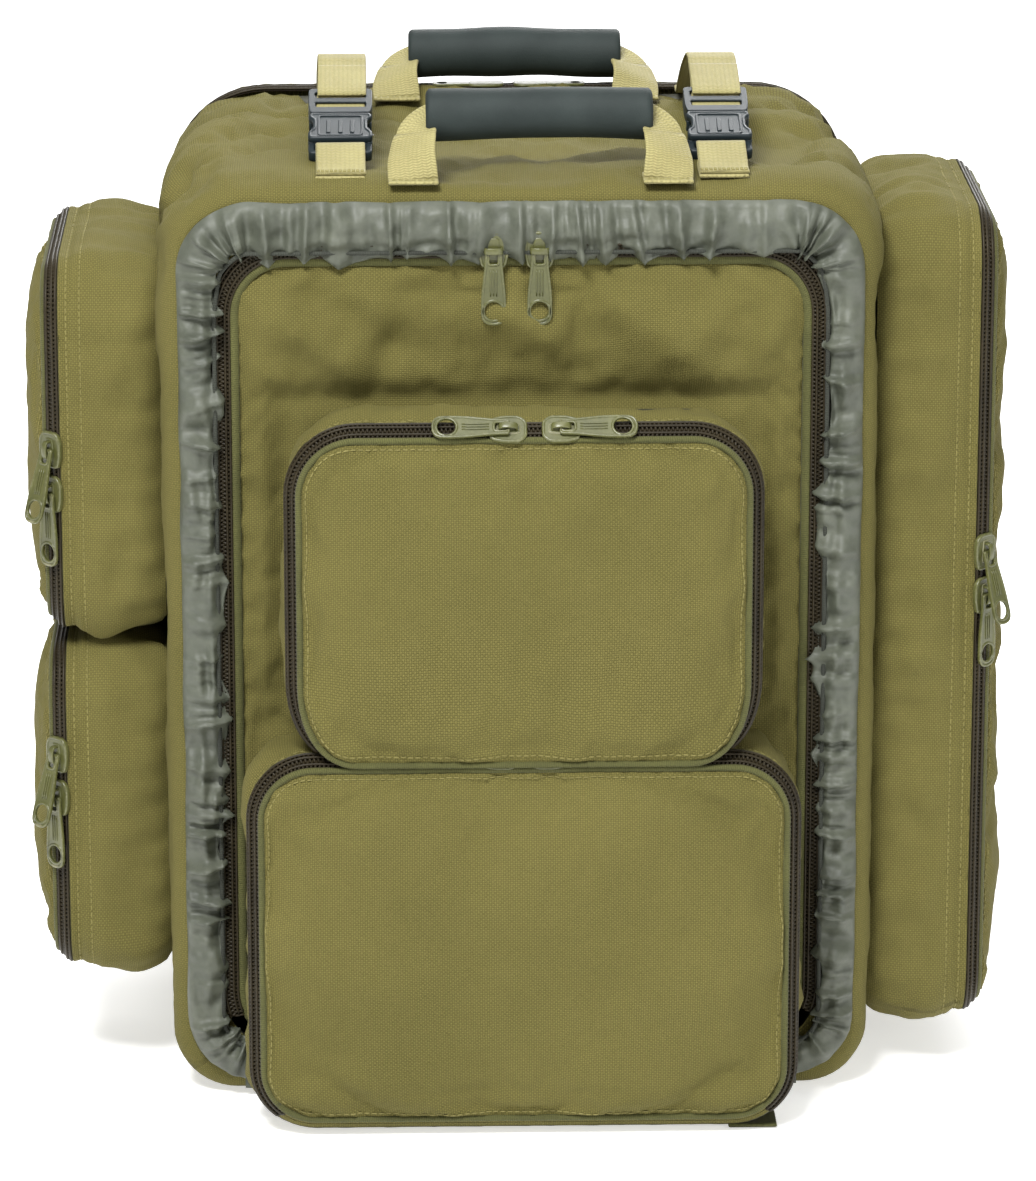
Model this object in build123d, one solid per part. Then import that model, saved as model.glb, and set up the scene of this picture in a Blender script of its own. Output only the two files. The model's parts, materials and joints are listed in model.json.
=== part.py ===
from build123d import *
from math import atan2, cos, degrees, hypot, pi, radians, sin
import os

os.makedirs("parts", exist_ok=True)

# All sizes are in millimetres. X runs to the viewer's right, Y to the wearer's back and
# Z up. The numbers below are set out from the front pockets' faces and the base.

# Clearances
gap = 0.4  # between pieces that move past each other
floor_gap = 2.0  # front pockets above the base

# Main body
shell_width = 362.0
shell_height = 481.0
shell_radius = 24.0
shell_wall = 8.0
shell_front = 68.0
flange_thickness = 4.0
divider_rear = 262.0
rear_shell_end = 320.0

# Front door, its zip and the gathered skirt around it
door_front = 65.0
door_thickness = 10.0
door_half_width = 145.0
door_bottom = 30.0
door_top = 444.0
door_radius = 28.0
door_hem_thickness = 1.4
half_chain = 5.0
chain_thickness = 3.0
skirt_half_width = 176.0
skirt_opening = 150.6
skirt_bottom = 5.0
skirt_top = 477.0
skirt_front = 52.5
skirt_sheet = 2.5
skirt_wall = 4.0
skirt_radius = 36.0
elastic_size = 2.2
skirt_strip_front = 66.8
skirt_strip_half_width = 141.0

# Zipped pockets: the chain runs round each rim on a 45 degree bevel
pocket_wall = 6.0
bevel_split = 3.6
bevel_rise = 7.2
flap_inset = 6.8
flap_thickness = 11.0
flap_bevel = 8.0
front_pocket_depth = 50.0
side_pocket_depth = 52.0
pocket_radius = 24.0
side_pocket_radius = 18.0
upper_pocket_half_width = 119.0
upper_pocket_bottom = 211.0
upper_pocket_top = 373.0
lower_pocket_half_width = 139.5
lower_pocket_top = 203.0
side_pocket_front = 92.0
side_pocket_rear = 259.0
left_upper_bottom = 239.5
left_upper_top = 436.0
left_lower_bottom = 57.0
left_lower_top = 233.5
right_bottom = 26.0
right_top = 459.0

# Back door
back_zip_ring = 3.5
back_face = 346.0
back_fillet = 6.0
back_hem = 12.0

# Sliders and pulls
slider_length = 19.0
slider_width = 15.5
slider_plate = 2.4
slider_lift = 0.3
bail_width = 3.0
bail_length = 10.0
bail_top = 7.0
bail_hole = 5.5
bail_hole_top = 5.8
pivot_height = 4.3
pull_thickness = 1.6
pull_length = 38.0
pull_narrow = 8.6
pull_wide = 12.5
pull_slot_end = 6.6
pull_slot_half = 1.9
pull_hole = 9.4
pull_hole_at = 30.5
slider_pitch = 23.0
overlying_tilt = 17.0

# Webbing, handles and top straps
webbing = 25.0
webbing_thickness = 1.6
tab_thickness = 2.0
grip_radius = 13.0
grip_half_length = 50.0
grip_core_width = 18.0
grip_core_thickness = 3.2
leg_centre = 63.5
leg_pivot_height = 3.4
front_handle_x = 10.0
front_handle_pivot_y = 76.0
front_grip_y = 110.0
front_grip_z = 508.0
rear_handle_x = 3.0
rear_handle_pivot_y = 290.0
rear_grip_y = 326.0
rear_grip_z = 498.5
left_strap_x = -90.0
right_strap_x = 102.0
strap_tilt = 15.0
buckle_y = 112.0
buckle_rise = 7.0
buckle_width = 33.0
buckle_thickness = 9.0
socket_end = 38.0
clip_start = 38.6
clip_end = 66.0
strap_straight_end = 106.0

# Shoulder harness
shoulder_width = 62.0
shoulder_thickness = 12.0
shoulder_top = 458.0
shoulder_bottom = 190.0
shoulder_reach = 30.0
shoulder_x = 66.0
shoulder_flare = 5.0
lock_length = 24.0
lock_thickness = 5.0
lower_web_bottom = 38.0

# Where the moving pieces turn and slide
door_pivot = (0, door_front + door_hem_thickness, floor_gap)
back_pivot = (0, back_face, 0)
front_pocket_face = door_front - front_pocket_depth - bevel_split - 0.3 - flap_thickness
side_pocket_face = shell_width / 2 + side_pocket_depth + bevel_split + 0.3 + flap_thickness
flap_edge = bevel_split + 0.3

upright = Plane((0, 0, 0), x_dir=(1, 0, 0), z_dir=(0, -1, 0))


def block(x0, x1, y0, y1, z0, z1):
    """A box between two corners."""
    return Pos((x0 + x1) / 2, (y0 + y1) / 2, (z0 + z1) / 2) * Box(x1 - x0, y1 - y0, z1 - z0)


def prism(plane, width, height, radius, start, end):
    """A rounded rectangle, drawn out along the plane's normal from start to end."""
    solid = extrude(RectangleRounded(width, height, radius), end - start)
    return plane.offset(start).location * solid


def wall_plane(y, bottom, top):
    """An upright plane facing the front, centred between two heights."""
    return Plane((0, y, (bottom + top) / 2), x_dir=(1, 0, 0), z_dir=(0, -1, 0))


def upright_prism(half_width, bottom, top, radius, front, rear):
    """A rounded rectangle seen from the front, from its front face to its rear face."""
    plane = wall_plane(rear, bottom, top)
    return prism(plane, 2 * half_width, top - bottom, radius, 0, rear - front)


def ribbon(points, thickness, width, x):
    """A flat band of one thickness along points given as (y, z), centred on x."""
    sides = ([], [])
    for i, (y, z) in enumerate(points):
        y0, z0 = points[max(i - 1, 0)]
        y1, z1 = points[min(i + 1, len(points) - 1)]
        length = hypot(y1 - y0, z1 - z0)
        ny, nz = -(z1 - z0) / length, (y1 - y0) / length
        for side, sign in zip(sides, (1, -1)):
            side.append((0, y + sign * ny * thickness / 2, z + sign * nz * thickness / 2))
    outline = Polyline(*sides[0], *reversed(sides[1]), close=True)
    band = extrude(make_face(outline), width, dir=(1, 0, 0))
    return Pos(x - width / 2, 0, 0) * band


def save(name, shape):
    """One node, moved so that the frame's origin is at the bottom centre."""
    shape = shape.moved(recentre)
    shape.label = name
    export_step(shape, f"parts/{name}.step")


nodes = {}

# Main body: a tray that is open at the front, and a ring behind its back wall
half = shell_width / 2
main_shell = upright_prism(half, 0, shell_height, shell_radius, shell_front, divider_rear)
main_shell -= upright_prism(
    half - shell_wall,
    shell_wall,
    shell_height - shell_wall,
    shell_radius - shell_wall,
    shell_front + flange_thickness,
    divider_rear - shell_wall,
)
opening_half = door_half_width + half_chain + gap + 3.5
opening_top = door_top + half_chain + gap + 3.5
main_shell -= upright_prism(
    opening_half, door_bottom - 3, opening_top, door_radius + 8, shell_front - 1, shell_front + 5
)
nodes["main_shell"] = main_shell

rear_shell = upright_prism(half, 0, shell_height, shell_radius, divider_rear, rear_shell_end)
rear_cavity = upright_prism(
    half - shell_wall,
    shell_wall,
    shell_height - shell_wall,
    shell_radius - shell_wall,
    divider_rear,
    rear_shell_end,
)
rear_shell -= rear_cavity

# Back zip: two bands round the rim, with cloth in their place along the hinged bottom
back_split = rear_shell_end + half_chain
back_inside = half - back_zip_ring
hem_box = block(-half, half, rear_shell_end, back_face, 0, back_hem)


def back_ring(front, rear):
    """One band of the back zip."""
    ring = upright_prism(half, 0, shell_height, shell_radius, front, rear)
    return ring - upright_prism(
        back_inside,
        back_zip_ring,
        shell_height - back_zip_ring,
        shell_radius - back_zip_ring,
        front,
        rear,
    )


shell_ring = back_ring(rear_shell_end, back_split)
rear_shell += shell_ring & hem_box
nodes["rear_shell"] = rear_shell

back_start = back_split + gap
back_step = back_start + half_chain
door_ring = back_ring(back_start, back_step)
back_panel = upright_prism(half, 0, shell_height, shell_radius, back_step, back_face)
back_edges = back_panel.faces().sort_by(Axis.Y)[-1].edges()
back_panel = fillet(back_edges, back_fillet)
back_panel += upright_prism(
    back_inside,
    back_zip_ring,
    shell_height - back_zip_ring,
    shell_radius - back_zip_ring,
    back_start,
    back_step,
)
back_panel += door_ring & hem_box
nodes["back_panel"] = back_panel
nodes["back_zip_tape"] = door_ring - hem_box

# Front door: a padded panel and a thin hem that reaches down behind the lower pocket
front_door_panel = upright_prism(
    door_half_width, door_bottom, door_top, door_radius, door_front, door_front + door_thickness
)
front_door_panel += block(
    -lower_pocket_half_width + 10,
    lower_pocket_half_width - 10,
    door_front,
    door_front + door_hem_thickness,
    floor_gap + 1,
    door_bottom + 10,
)
nodes["front_door_panel"] = front_door_panel

chain_front = shell_front - chain_thickness
chain_end = door_bottom + door_radius


def door_chain(inner, outer):
    """One half of the door's chain: up both sides and over the top."""
    ring = upright_prism(
        door_half_width + outer,
        door_bottom - 40,
        door_top + outer,
        door_radius + outer,
        chain_front,
        shell_front,
    )
    ring -= upright_prism(
        door_half_width + inner,
        door_bottom - 41,
        door_top + inner,
        door_radius + inner,
        chain_front,
        shell_front,
    )
    return ring - block(-half, half, 0, shell_front + 10, -100, chain_end)


door_chain_half = door_chain(0, half_chain)
frame_chain_half = door_chain(half_chain + gap, 2 * half_chain + gap)

# Skirt: a gathered cover over the zip, flat where it passes behind the lower pocket
skirt_band = skirt_half_width - skirt_opening
skirt_outer = upright_prism(
    skirt_half_width, skirt_bottom, skirt_top, skirt_radius, skirt_front, shell_front
)
skirt_edges = skirt_outer.faces().sort_by(Axis.Y)[0].edges()
skirt_outer = fillet(skirt_edges, 2)
skirt = skirt_outer - upright_prism(
    skirt_half_width - skirt_wall,
    skirt_bottom + skirt_wall,
    skirt_top - skirt_wall,
    skirt_radius - skirt_wall,
    skirt_front + skirt_sheet,
    shell_front,
)
skirt -= upright_prism(
    skirt_opening,
    door_bottom,
    skirt_top - skirt_band + 6,
    door_radius + 2,
    skirt_front - 1,
    skirt_front + skirt_sheet + 1,
)
behind_pocket = block(
    -skirt_strip_half_width, skirt_strip_half_width, 0, shell_front, 0, door_bottom + 20
)
skirt -= behind_pocket
elastic_track = upright_prism(
    skirt_opening + 3.4,
    door_bottom - 3.4,
    skirt_top - skirt_band + 9.4,
    door_radius + 5.4,
    skirt_front + skirt_sheet,
    skirt_front + skirt_sheet + elastic_size,
)
elastic_track -= upright_prism(
    skirt_opening + 3.4 - elastic_size,
    door_bottom - 3.4 + elastic_size,
    skirt_top - skirt_band + 9.4 - elastic_size,
    door_radius + 5.4 - elastic_size,
    skirt_front + skirt_sheet,
    skirt_front + skirt_sheet + elastic_size,
)
skirt_elastic = elastic_track - behind_pocket
skirt_strip = block(
    -skirt_strip_half_width,
    skirt_strip_half_width,
    skirt_strip_front,
    shell_front,
    skirt_bottom,
    door_bottom - 4,
)
nodes["rain_skirt"] = skirt + skirt_strip
nodes["skirt_elastic"] = skirt_elastic


def pocket(plane, width, height, radius, depth, hinge_box):
    """A pocket tube, its flap and the two halves of the chain on the bevel between them."""
    tube = prism(plane, width, height, radius, 0, depth)
    inner = radius - pocket_wall
    tube -= prism(
        plane, width - 2 * pocket_wall, height - 2 * pocket_wall, inner, 0, depth + bevel_rise
    )
    bevel = plane.offset(depth).location * extrude(
        RectangleRounded(width, height, radius), bevel_rise, taper=45
    )
    outer_half = bevel - prism(
        plane,
        width - 2 * pocket_wall,
        height - 2 * pocket_wall,
        inner,
        depth,
        depth + bevel_rise,
    )
    outer_half -= prism(
        plane, width, height, radius, depth + bevel_split, depth + 2 * bevel_rise
    )
    flap_width = width - 2 * flap_inset
    flap_height = height - 2 * flap_inset
    flap_radius = radius - flap_inset
    flap_rear = depth + bevel_split + 0.3
    flap = prism(plane, flap_width, flap_height, flap_radius, flap_rear, flap_rear + flap_thickness)
    outward = plane.z_dir
    flap_edges = flap.faces().sort_by(Axis(plane.origin, outward))[-1].edges()
    flap = chamfer(flap_edges, flap_bevel)
    inner_half = bevel - prism(plane, width, height, radius, depth, flap_rear)
    inner_half -= prism(plane, flap_width, flap_height, flap_radius, depth, depth + 2 * bevel_rise)
    box = plane.location * hinge_box
    tube += outer_half & box
    flap += inner_half & box
    return tube, outer_half - box, flap, inner_half - box


def bottom_box(width, height):
    """The hinged bottom strip of a front pocket, in the pocket's own plane."""
    return Pos(0, -height / 2, 0) * Box(width + 10, 2 * pocket_wall + 3, 400)


def front_pocket(half_width, bottom, top):
    """A pocket on the front door, hinged along its bottom."""
    plane = wall_plane(door_front, bottom, top)
    height = top - bottom
    return pocket(
        plane,
        2 * half_width,
        height,
        pocket_radius,
        front_pocket_depth,
        bottom_box(2 * half_width, height),
    )


def side_pocket(side, bottom, top):
    """A pocket on one side of the body, hinged along its rear edge; side is -1 or 1."""
    middle = (side_pocket_front + side_pocket_rear) / 2
    plane = Plane(
        (side * half, middle, (bottom + top) / 2), x_dir=(0, side, 0), z_dir=(side, 0, 0)
    )
    width = side_pocket_rear - side_pocket_front
    rear_box = Pos(width / 2, 0, 0) * Box(2 * pocket_wall + 3, top - bottom + 10, 400)
    return pocket(
        plane, width, top - bottom, side_pocket_radius, side_pocket_depth, rear_box
    )


upper = front_pocket(upper_pocket_half_width, upper_pocket_bottom, upper_pocket_top)
lower = front_pocket(lower_pocket_half_width, floor_gap, lower_pocket_top)
left_upper = side_pocket(-1, left_upper_bottom, left_upper_top)
left_lower = side_pocket(-1, left_lower_bottom, left_lower_top)
right = side_pocket(1, right_bottom, right_top)

nodes["upper_front_pocket"], upper_chain, nodes["upper_pocket_flap"] = upper[:3]
nodes["upper_flap_zip_tape"] = upper[3]
nodes["lower_front_pocket"], lower_chain, nodes["lower_pocket_flap"] = lower[:3]
nodes["lower_flap_zip_tape"] = lower[3]
nodes["left_upper_pocket"], left_upper_chain, nodes["left_upper_flap"] = left_upper[:3]
nodes["left_upper_flap_zip_tape"] = left_upper[3]
nodes["left_lower_pocket"], left_lower_chain, nodes["left_lower_flap"] = left_lower[:3]
nodes["left_lower_flap_zip_tape"] = left_lower[3]
nodes["right_pocket"], right_chain, nodes["right_flap"] = right[:3]
nodes["right_flap_zip_tape"] = right[3]
nodes["front_door_zip_tapes"] = Compound([door_chain_half, upper_chain, lower_chain])
nodes["bag_zip_tapes"] = Compound(
    [frame_chain_half, shell_ring - hem_box, left_upper_chain, left_lower_chain, right_chain]
)
hem_tab_x = 117.0
nodes["pocket_hem_tab"] = block(
    hem_tab_x - webbing / 2, hem_tab_x + webbing / 2, 14, 34, 0.4, floor_gap
)


def slider(sideways):
    """A slider on the chain's plane, with the chain along X. A sideways bail turns the pull."""
    plate = extrude(RectangleRounded(slider_length, slider_width, 3), slider_plate)
    body = Pos(0, 0, slider_lift) * plate
    bail_bottom = slider_lift + slider_plate
    bail = Pos(0, 0, (bail_bottom + bail_top) / 2) * Box(
        bail_length, bail_width, bail_top - bail_bottom
    )
    bail = fillet(bail.edges().filter_by(Axis.Y).group_by(Axis.Z)[-1], 2)
    bail -= Pos(0, 0, (bail_bottom + bail_hole_top) / 2) * Box(
        bail_hole, bail_width + 1, bail_hole_top - bail_bottom
    )
    if sideways:
        bail = Rot(0, 0, 90) * bail
    return body + bail


def pull():
    """A pull that points along X from its pivot, which is at the origin."""
    near, far = -pull_thickness / 2, pull_length
    outline = Polyline(
        (near, -pull_narrow / 2),
        (pull_slot_end, -pull_narrow / 2),
        (pull_hole_at - 8, -pull_wide / 2),
        (far, -pull_wide / 2),
        (far, pull_wide / 2),
        (pull_hole_at - 8, pull_wide / 2),
        (pull_slot_end, pull_narrow / 2),
        (near, pull_narrow / 2),
        close=True,
    )
    plate = extrude(make_face(outline), pull_thickness / 2, both=True)
    plate = fillet(plate.edges().filter_by(Axis.Z).group_by(Axis.X)[-1], 5.5)
    slot_start = pull_thickness / 2
    plate -= Pos((slot_start + pull_slot_end) / 2, 0, 0) * Box(
        pull_slot_end - slot_start, 2 * pull_slot_half, 2 * pull_thickness
    )
    return plate - Pos(pull_hole_at, 0, 0) * Cylinder(pull_hole / 2, 2 * pull_thickness)


def chain_frame(origin, along, normal):
    """The frame of one slider: X along the chain, Z out of it."""
    return Plane(origin, x_dir=along, z_dir=normal).location


bevel_mid = bevel_split + 0.15
bevel_normal = sin(radians(45))
upper_run_y = door_front - front_pocket_depth - bevel_mid
upper_run_z = upper_pocket_top - bevel_mid
lower_run_z = lower_pocket_top - bevel_mid
side_run_x = half + side_pocket_depth + bevel_mid
side_run_y = side_pocket_front + bevel_mid
main_run_z = door_top + half_chain + gap / 2
back_run_y = back_split + gap / 2

up_forward = (0, -bevel_normal, bevel_normal)
left_forward = (-bevel_normal, -bevel_normal, 0)
right_forward = (bevel_normal, -bevel_normal, 0)

# Each slider: name, origin on the chain, the way its pull points, the chain's normal, whether
# the pull hangs across the chain, and how far the pull is tilted off the chain at rest
sliders = [
    ("main_left", (-14, chain_front, main_run_z), (0, 0, -1), (0, -1, 0), True, 0),
    ("main_right", (9, chain_front, main_run_z), (0, 0, -1), (0, -1, 0), True, 0),
    ("upper_left", (-8, upper_run_y, upper_run_z), (-1, 0, 0), up_forward, False, 0),
    ("upper_right", (18, upper_run_y, upper_run_z), (1, 0, 0), up_forward, False, 0),
]
side_parking = [
    ("left_upper", -1, left_forward, 340.0),
    ("left_lower", -1, left_forward, 178.0),
    ("right", 1, right_forward, 283.0),
]
for name, side, normal, height in side_parking:
    for place, drop, tilt in (("high", 0, overlying_tilt), ("low", slider_pitch, 0)):
        origin = (side * side_run_x, side_run_y, height - drop)
        sliders.append((f"{name}_{place}", origin, (0, 0, -1), normal, False, tilt))

pull_frames = {}
for name, origin, pointing, normal, sideways, tilt in sliders:
    frame = chain_frame(origin, pointing, normal)
    turn = Rot(0, 0, 90) if sideways else Rot(0, 0, 0)
    body = frame * (turn * slider(sideways))
    pull_frames[name] = frame * Pos(0, 0, pivot_height) * Rot(0, -tilt, 0)
    nodes[f"{name}_slider"] = body
    nodes[f"{name}_pull"] = pull_frames[name] * pull()


def hidden_slider(frame):
    """A slider out of sight, with its short tag lying flat on its plate."""
    plate = extrude(RectangleRounded(slider_length, slider_width - 3, 3), slider_plate)
    tag = Pos(slider_length / 2 + 8, 0, slider_plate / 2) * Box(24, pull_narrow, slider_plate)
    return frame * (Pos(0, 0, slider_lift) * (plate + tag))


lower_frames = [
    chain_frame((side * 12, upper_run_y, lower_run_z), (side, 0, 0), up_forward)
    for side in (-1, 1)
]
back_frames = [
    chain_frame((side * 12, back_run_y, shell_height), (side, 0, 0), (0, 0, 1))
    for side in (-1, 1)
]
nodes["lower_left_slider"], nodes["lower_right_slider"] = map(hidden_slider, lower_frames)
nodes["back_left_slider"], nodes["back_right_slider"] = map(hidden_slider, back_frames)

# Top straps: webbing sewn at both ends, a socket at the front and a clip that slides on it
buckle_z = shell_height + buckle_rise
tilt_cos, tilt_sin = cos(radians(strap_tilt)), sin(radians(strap_tilt))


def on_strap(along, lift):
    """A point (y, z) in the strap's tilted frame."""
    return (
        buckle_y + along * tilt_cos - lift * tilt_sin,
        buckle_z + along * tilt_sin + lift * tilt_cos,
    )


def strap_block(x, start, end, half_width, low, high):
    """A box in the strap's tilted frame."""
    solid = block(-half_width, half_width, start, end, low, high)
    return Pos(x, buckle_y, buckle_z) * Rot(strap_tilt, 0, 0) * solid


half_buckle = buckle_thickness / 2
half_webbing = webbing_thickness / 2
web_lift = 2.1
under_socket = -half_buckle - half_webbing
top_z = shell_height + half_webbing


def strap_socket(x):
    """The female half: a flat box that is open to the rear, with a bar for the webbing."""
    body = strap_block(x, 10, socket_end, buckle_width / 2, -half_buckle, half_buckle)
    body = fillet(body.edges().filter_by(Axis.X), 1.5)
    body += strap_block(x, 0, 10.5, buckle_width / 2, -half_buckle, 1)
    body -= strap_block(x, 3.5, 10, webbing / 2 + 0.7, -half_buckle + 1.6, 2)
    body -= strap_block(x, 14, socket_end, 13.5, -3.7, 0.7)
    for side in (-1, 1):
        body -= Pos(side * buckle_width / 2, 0, 0) * strap_block(x, 20, 31, 4, -3.2, 3.2)
    return body


def strap_clip(x):
    """The male half: two prongs and a frame that the webbing passes through."""
    body = strap_block(x, clip_start, clip_end, buckle_width / 2, -half_buckle, half_buckle)
    body = fillet(body.edges().filter_by(Axis.X), 1.5)
    body -= strap_block(x, clip_start - 1, clip_end + 1, webbing / 2 + 0.5, 0.6, 3.6)
    for side in (-1, 1):
        body += Pos(side * 9, 0, 0) * strap_block(x, 16, clip_start + 1, 3.6, -3.2, 0.2)
    return body


def strap_webbing(x):
    """The sewn front end, and the long part from the clip to the rear."""
    front = ribbon(
        [(84, top_z), (105, top_z), on_strap(0, under_socket), on_strap(9, under_socket)],
        webbing_thickness,
        webbing,
        x,
    )
    peak = on_strap(strap_straight_end, web_lift)
    rear = ribbon(
        [
            on_strap(clip_start + 4, web_lift),
            peak,
            (peak[0] + 16, peak[1] - 1.5),
            (peak[0] + 40, peak[1] - 11),
            (284, top_z + 9),
            (296, top_z + 2),
            (302, top_z),
            (317, top_z),
        ],
        webbing_thickness,
        webbing,
        x,
    )
    return [front, rear]


def anchor_tab(x, y):
    """A short length of webbing sewn flat on top, under a handle's leg."""
    return block(
        x - webbing / 2,
        x + webbing / 2,
        y - 6,
        y + 14,
        shell_height,
        shell_height + tab_thickness,
    )


handle_tabs = [
    anchor_tab(x + side * leg_centre, y)
    for x, y in ((front_handle_x, front_handle_pivot_y), (rear_handle_x, rear_handle_pivot_y))
    for side in (-1, 1)
]
straps = strap_webbing(left_strap_x) + strap_webbing(right_strap_x)
nodes["top_webbing"] = Compound(straps + handle_tabs)
nodes["top_strap_sockets"] = Compound([strap_socket(left_strap_x), strap_socket(right_strap_x)])
nodes["left_strap_clip"] = strap_clip(left_strap_x)
nodes["right_strap_clip"] = strap_clip(right_strap_x)


def handle(x, pivot_y, grip_y, grip_z):
    """A carry handle: two legs and a core of webbing, and a foam grip round the core."""
    pivot_z = shell_height + leg_pivot_height
    lean = degrees(atan2(grip_z - pivot_z, grip_y - pivot_y))
    reach = hypot(grip_z - pivot_z, grip_y - pivot_y)
    core_end = leg_centre + webbing / 2
    core = Box(2 * core_end, grip_core_width, grip_core_thickness)
    web = Pos(0, reach, 0) * core
    for side in (-1, 1):
        leg = Pos(side * leg_centre, reach / 2, 0) * Box(webbing, reach, webbing_thickness)
        web += leg + Pos(side * leg_centre, 0, 0) * Rot(0, 90, 0) * Cylinder(
            half_webbing, webbing
        )
    grip = Rot(0, 90, 0) * Cylinder(grip_radius, 2 * grip_half_length)
    grip = fillet(grip.edges(), 2)
    grip = Pos(0, reach, 0) * (grip - core)
    place = Pos(x, pivot_y, pivot_z) * Rot(lean, 0, 0)
    return place * web, place * grip


nodes["front_handle_webbing"], nodes["front_handle_grip"] = handle(
    front_handle_x, front_handle_pivot_y, front_grip_y, front_grip_z
)
nodes["rear_handle_webbing"], nodes["rear_handle_grip"] = handle(
    rear_handle_x, rear_handle_pivot_y, rear_grip_y, rear_grip_z
)

# Shoulder harness on the back door
strap_top_tab = 24.0
lock_top = shoulder_bottom + 4


def shoulder_strap(side):
    """A padded strap that stands off the back and flares outwards as it goes down."""
    steps = 14
    points = []
    for i in range(steps + 1):
        part = i / steps
        height = shoulder_top - strap_top_tab + (shoulder_bottom - shoulder_top + strap_top_tab) * part
        out = shoulder_reach * sin(pi * min(part * 1.12, 1.0)) ** 0.8 + 6 * part
        points.append((back_face + shoulder_thickness / 2 + 0.2 + out, height + 10 * part))
    points.append((points[-1][0], shoulder_bottom))
    strap = ribbon(points, shoulder_thickness, shoulder_width, 0)
    strap += block(
        -shoulder_width / 2,
        shoulder_width / 2,
        back_face,
        back_face + shoulder_thickness,
        shoulder_top - strap_top_tab - 2,
        shoulder_top,
    )
    turn = Pos(side * shoulder_x, 0, shoulder_top) * Rot(0, -side * shoulder_flare, 0)
    return turn * Pos(0, 0, -shoulder_top) * strap


def harness_band(side):
    """Webbing from the strap's lower end, through its lock, to the bottom corner."""
    end_y = back_face + shoulder_thickness + 6.2
    low_y = back_face + half_webbing
    points = [
        (end_y - 6, lock_top - 3),
        (end_y - 6, lock_top - lock_length - 6),
        (low_y + 4, lower_web_bottom + 40),
        (low_y, lower_web_bottom + 26),
        (low_y, lower_web_bottom),
    ]
    return points


def harness_turn(side):
    """The flared frame that the strap, lock and webbing share."""
    return (
        Pos(side * shoulder_x, 0, shoulder_top)
        * Rot(0, -side * shoulder_flare, 0)
        * Pos(0, 0, -shoulder_top)
    )


def ladder_lock(side):
    """A flat frame with a window for the webbing, below the strap's lower end."""
    middle = harness_band(side)[0][0]
    frame = block(
        -buckle_width / 2,
        buckle_width / 2,
        middle - lock_thickness / 2,
        middle + lock_thickness / 2,
        shoulder_bottom - lock_length,
        shoulder_bottom,
    )
    frame -= block(
        -webbing / 2 - 0.5,
        webbing / 2 + 0.5,
        middle - half_webbing,
        middle + half_webbing,
        shoulder_bottom - lock_length,
        shoulder_bottom,
    )
    return harness_turn(side) * frame


def lower_webbing(side):
    """The harness webbing on one side."""
    points = harness_band(side)
    points[0] = (points[0][0], shoulder_bottom - 1)
    return harness_turn(side) * ribbon(points, webbing_thickness, webbing, 0)


nodes["shoulder_straps"] = Compound([shoulder_strap(-1), shoulder_strap(1)])
nodes["harness_webbing"] = Compound([lower_webbing(-1), lower_webbing(1)])
nodes["ladder_locks"] = Compound([ladder_lock(-1), ladder_lock(1)])

whole = Compound(list(nodes.values())).bounding_box()
recentre = Pos(-(whole.min.X + whole.max.X) / 2, -(whole.min.Y + whole.max.Y) / 2, -whole.min.Z)
for name, shape in nodes.items():
    save(name, shape)
print(len(nodes), "nodes", whole.size, recentre.position)
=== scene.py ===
"""Olive fishing backpack: the visual model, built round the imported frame."""

import json
import math

import bpy
import numpy as np
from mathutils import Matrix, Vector
from mathutils.geometry import tessellate_polygon

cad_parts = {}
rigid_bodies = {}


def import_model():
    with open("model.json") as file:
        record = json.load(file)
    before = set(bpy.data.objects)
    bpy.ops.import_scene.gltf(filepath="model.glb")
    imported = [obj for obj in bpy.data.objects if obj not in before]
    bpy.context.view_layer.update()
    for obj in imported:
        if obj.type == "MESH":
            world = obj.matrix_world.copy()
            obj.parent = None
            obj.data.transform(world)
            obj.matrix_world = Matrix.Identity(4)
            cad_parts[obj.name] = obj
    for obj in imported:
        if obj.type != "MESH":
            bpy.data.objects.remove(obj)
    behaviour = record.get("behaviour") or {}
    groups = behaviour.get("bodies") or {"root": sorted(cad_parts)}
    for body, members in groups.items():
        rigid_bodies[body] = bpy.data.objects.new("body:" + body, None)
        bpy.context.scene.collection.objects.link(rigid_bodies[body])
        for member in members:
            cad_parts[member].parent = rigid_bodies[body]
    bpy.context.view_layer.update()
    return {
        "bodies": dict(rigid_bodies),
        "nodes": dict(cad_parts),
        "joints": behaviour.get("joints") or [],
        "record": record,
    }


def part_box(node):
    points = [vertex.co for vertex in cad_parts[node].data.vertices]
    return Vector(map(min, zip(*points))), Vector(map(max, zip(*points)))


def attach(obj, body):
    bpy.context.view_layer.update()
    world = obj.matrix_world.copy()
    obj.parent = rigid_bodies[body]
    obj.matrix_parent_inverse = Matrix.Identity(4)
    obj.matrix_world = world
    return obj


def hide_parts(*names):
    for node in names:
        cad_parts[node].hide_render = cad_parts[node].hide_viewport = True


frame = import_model()

# ---------------------------------------------------------------- frame and sizes (mm)
SHELL_FRONT, DIVIDER, REAR_END, BACK_FACE = 68.0, 262.0, 320.0, 346.0
Y_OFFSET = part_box("main_shell")[0][1] * 1000 - SHELL_FRONT
HALF_W, HEIGHT = 181.0, 481.0
DOOR_Y, DOOR_HALF, DOOR_BOTTOM, DOOR_TOP = 65.0, 145.0, 30.0, 444.0
SPLIT = 3.6
FLOOR_GAP = 0.2


def waves(seed, length, count=26):
    """A smooth random field: sine waves of about one length in every direction."""
    g = np.random.default_rng(seed)
    k = g.normal(size=(count, 3))
    k /= np.linalg.norm(k, axis=1)[:, None]
    k *= (2 * math.pi / length) * g.uniform(0.6, 1.5, count)[:, None]
    phase = g.uniform(0, 2 * math.pi, count)

    def field(p):
        return np.sin(p @ k.T + phase).sum(1) / math.sqrt(count / 2)

    return field


def smooth(x, lo, hi):
    t = np.clip((x - lo) / (hi - lo), 0, 1)
    return t * t * (3 - 2 * t)


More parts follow.
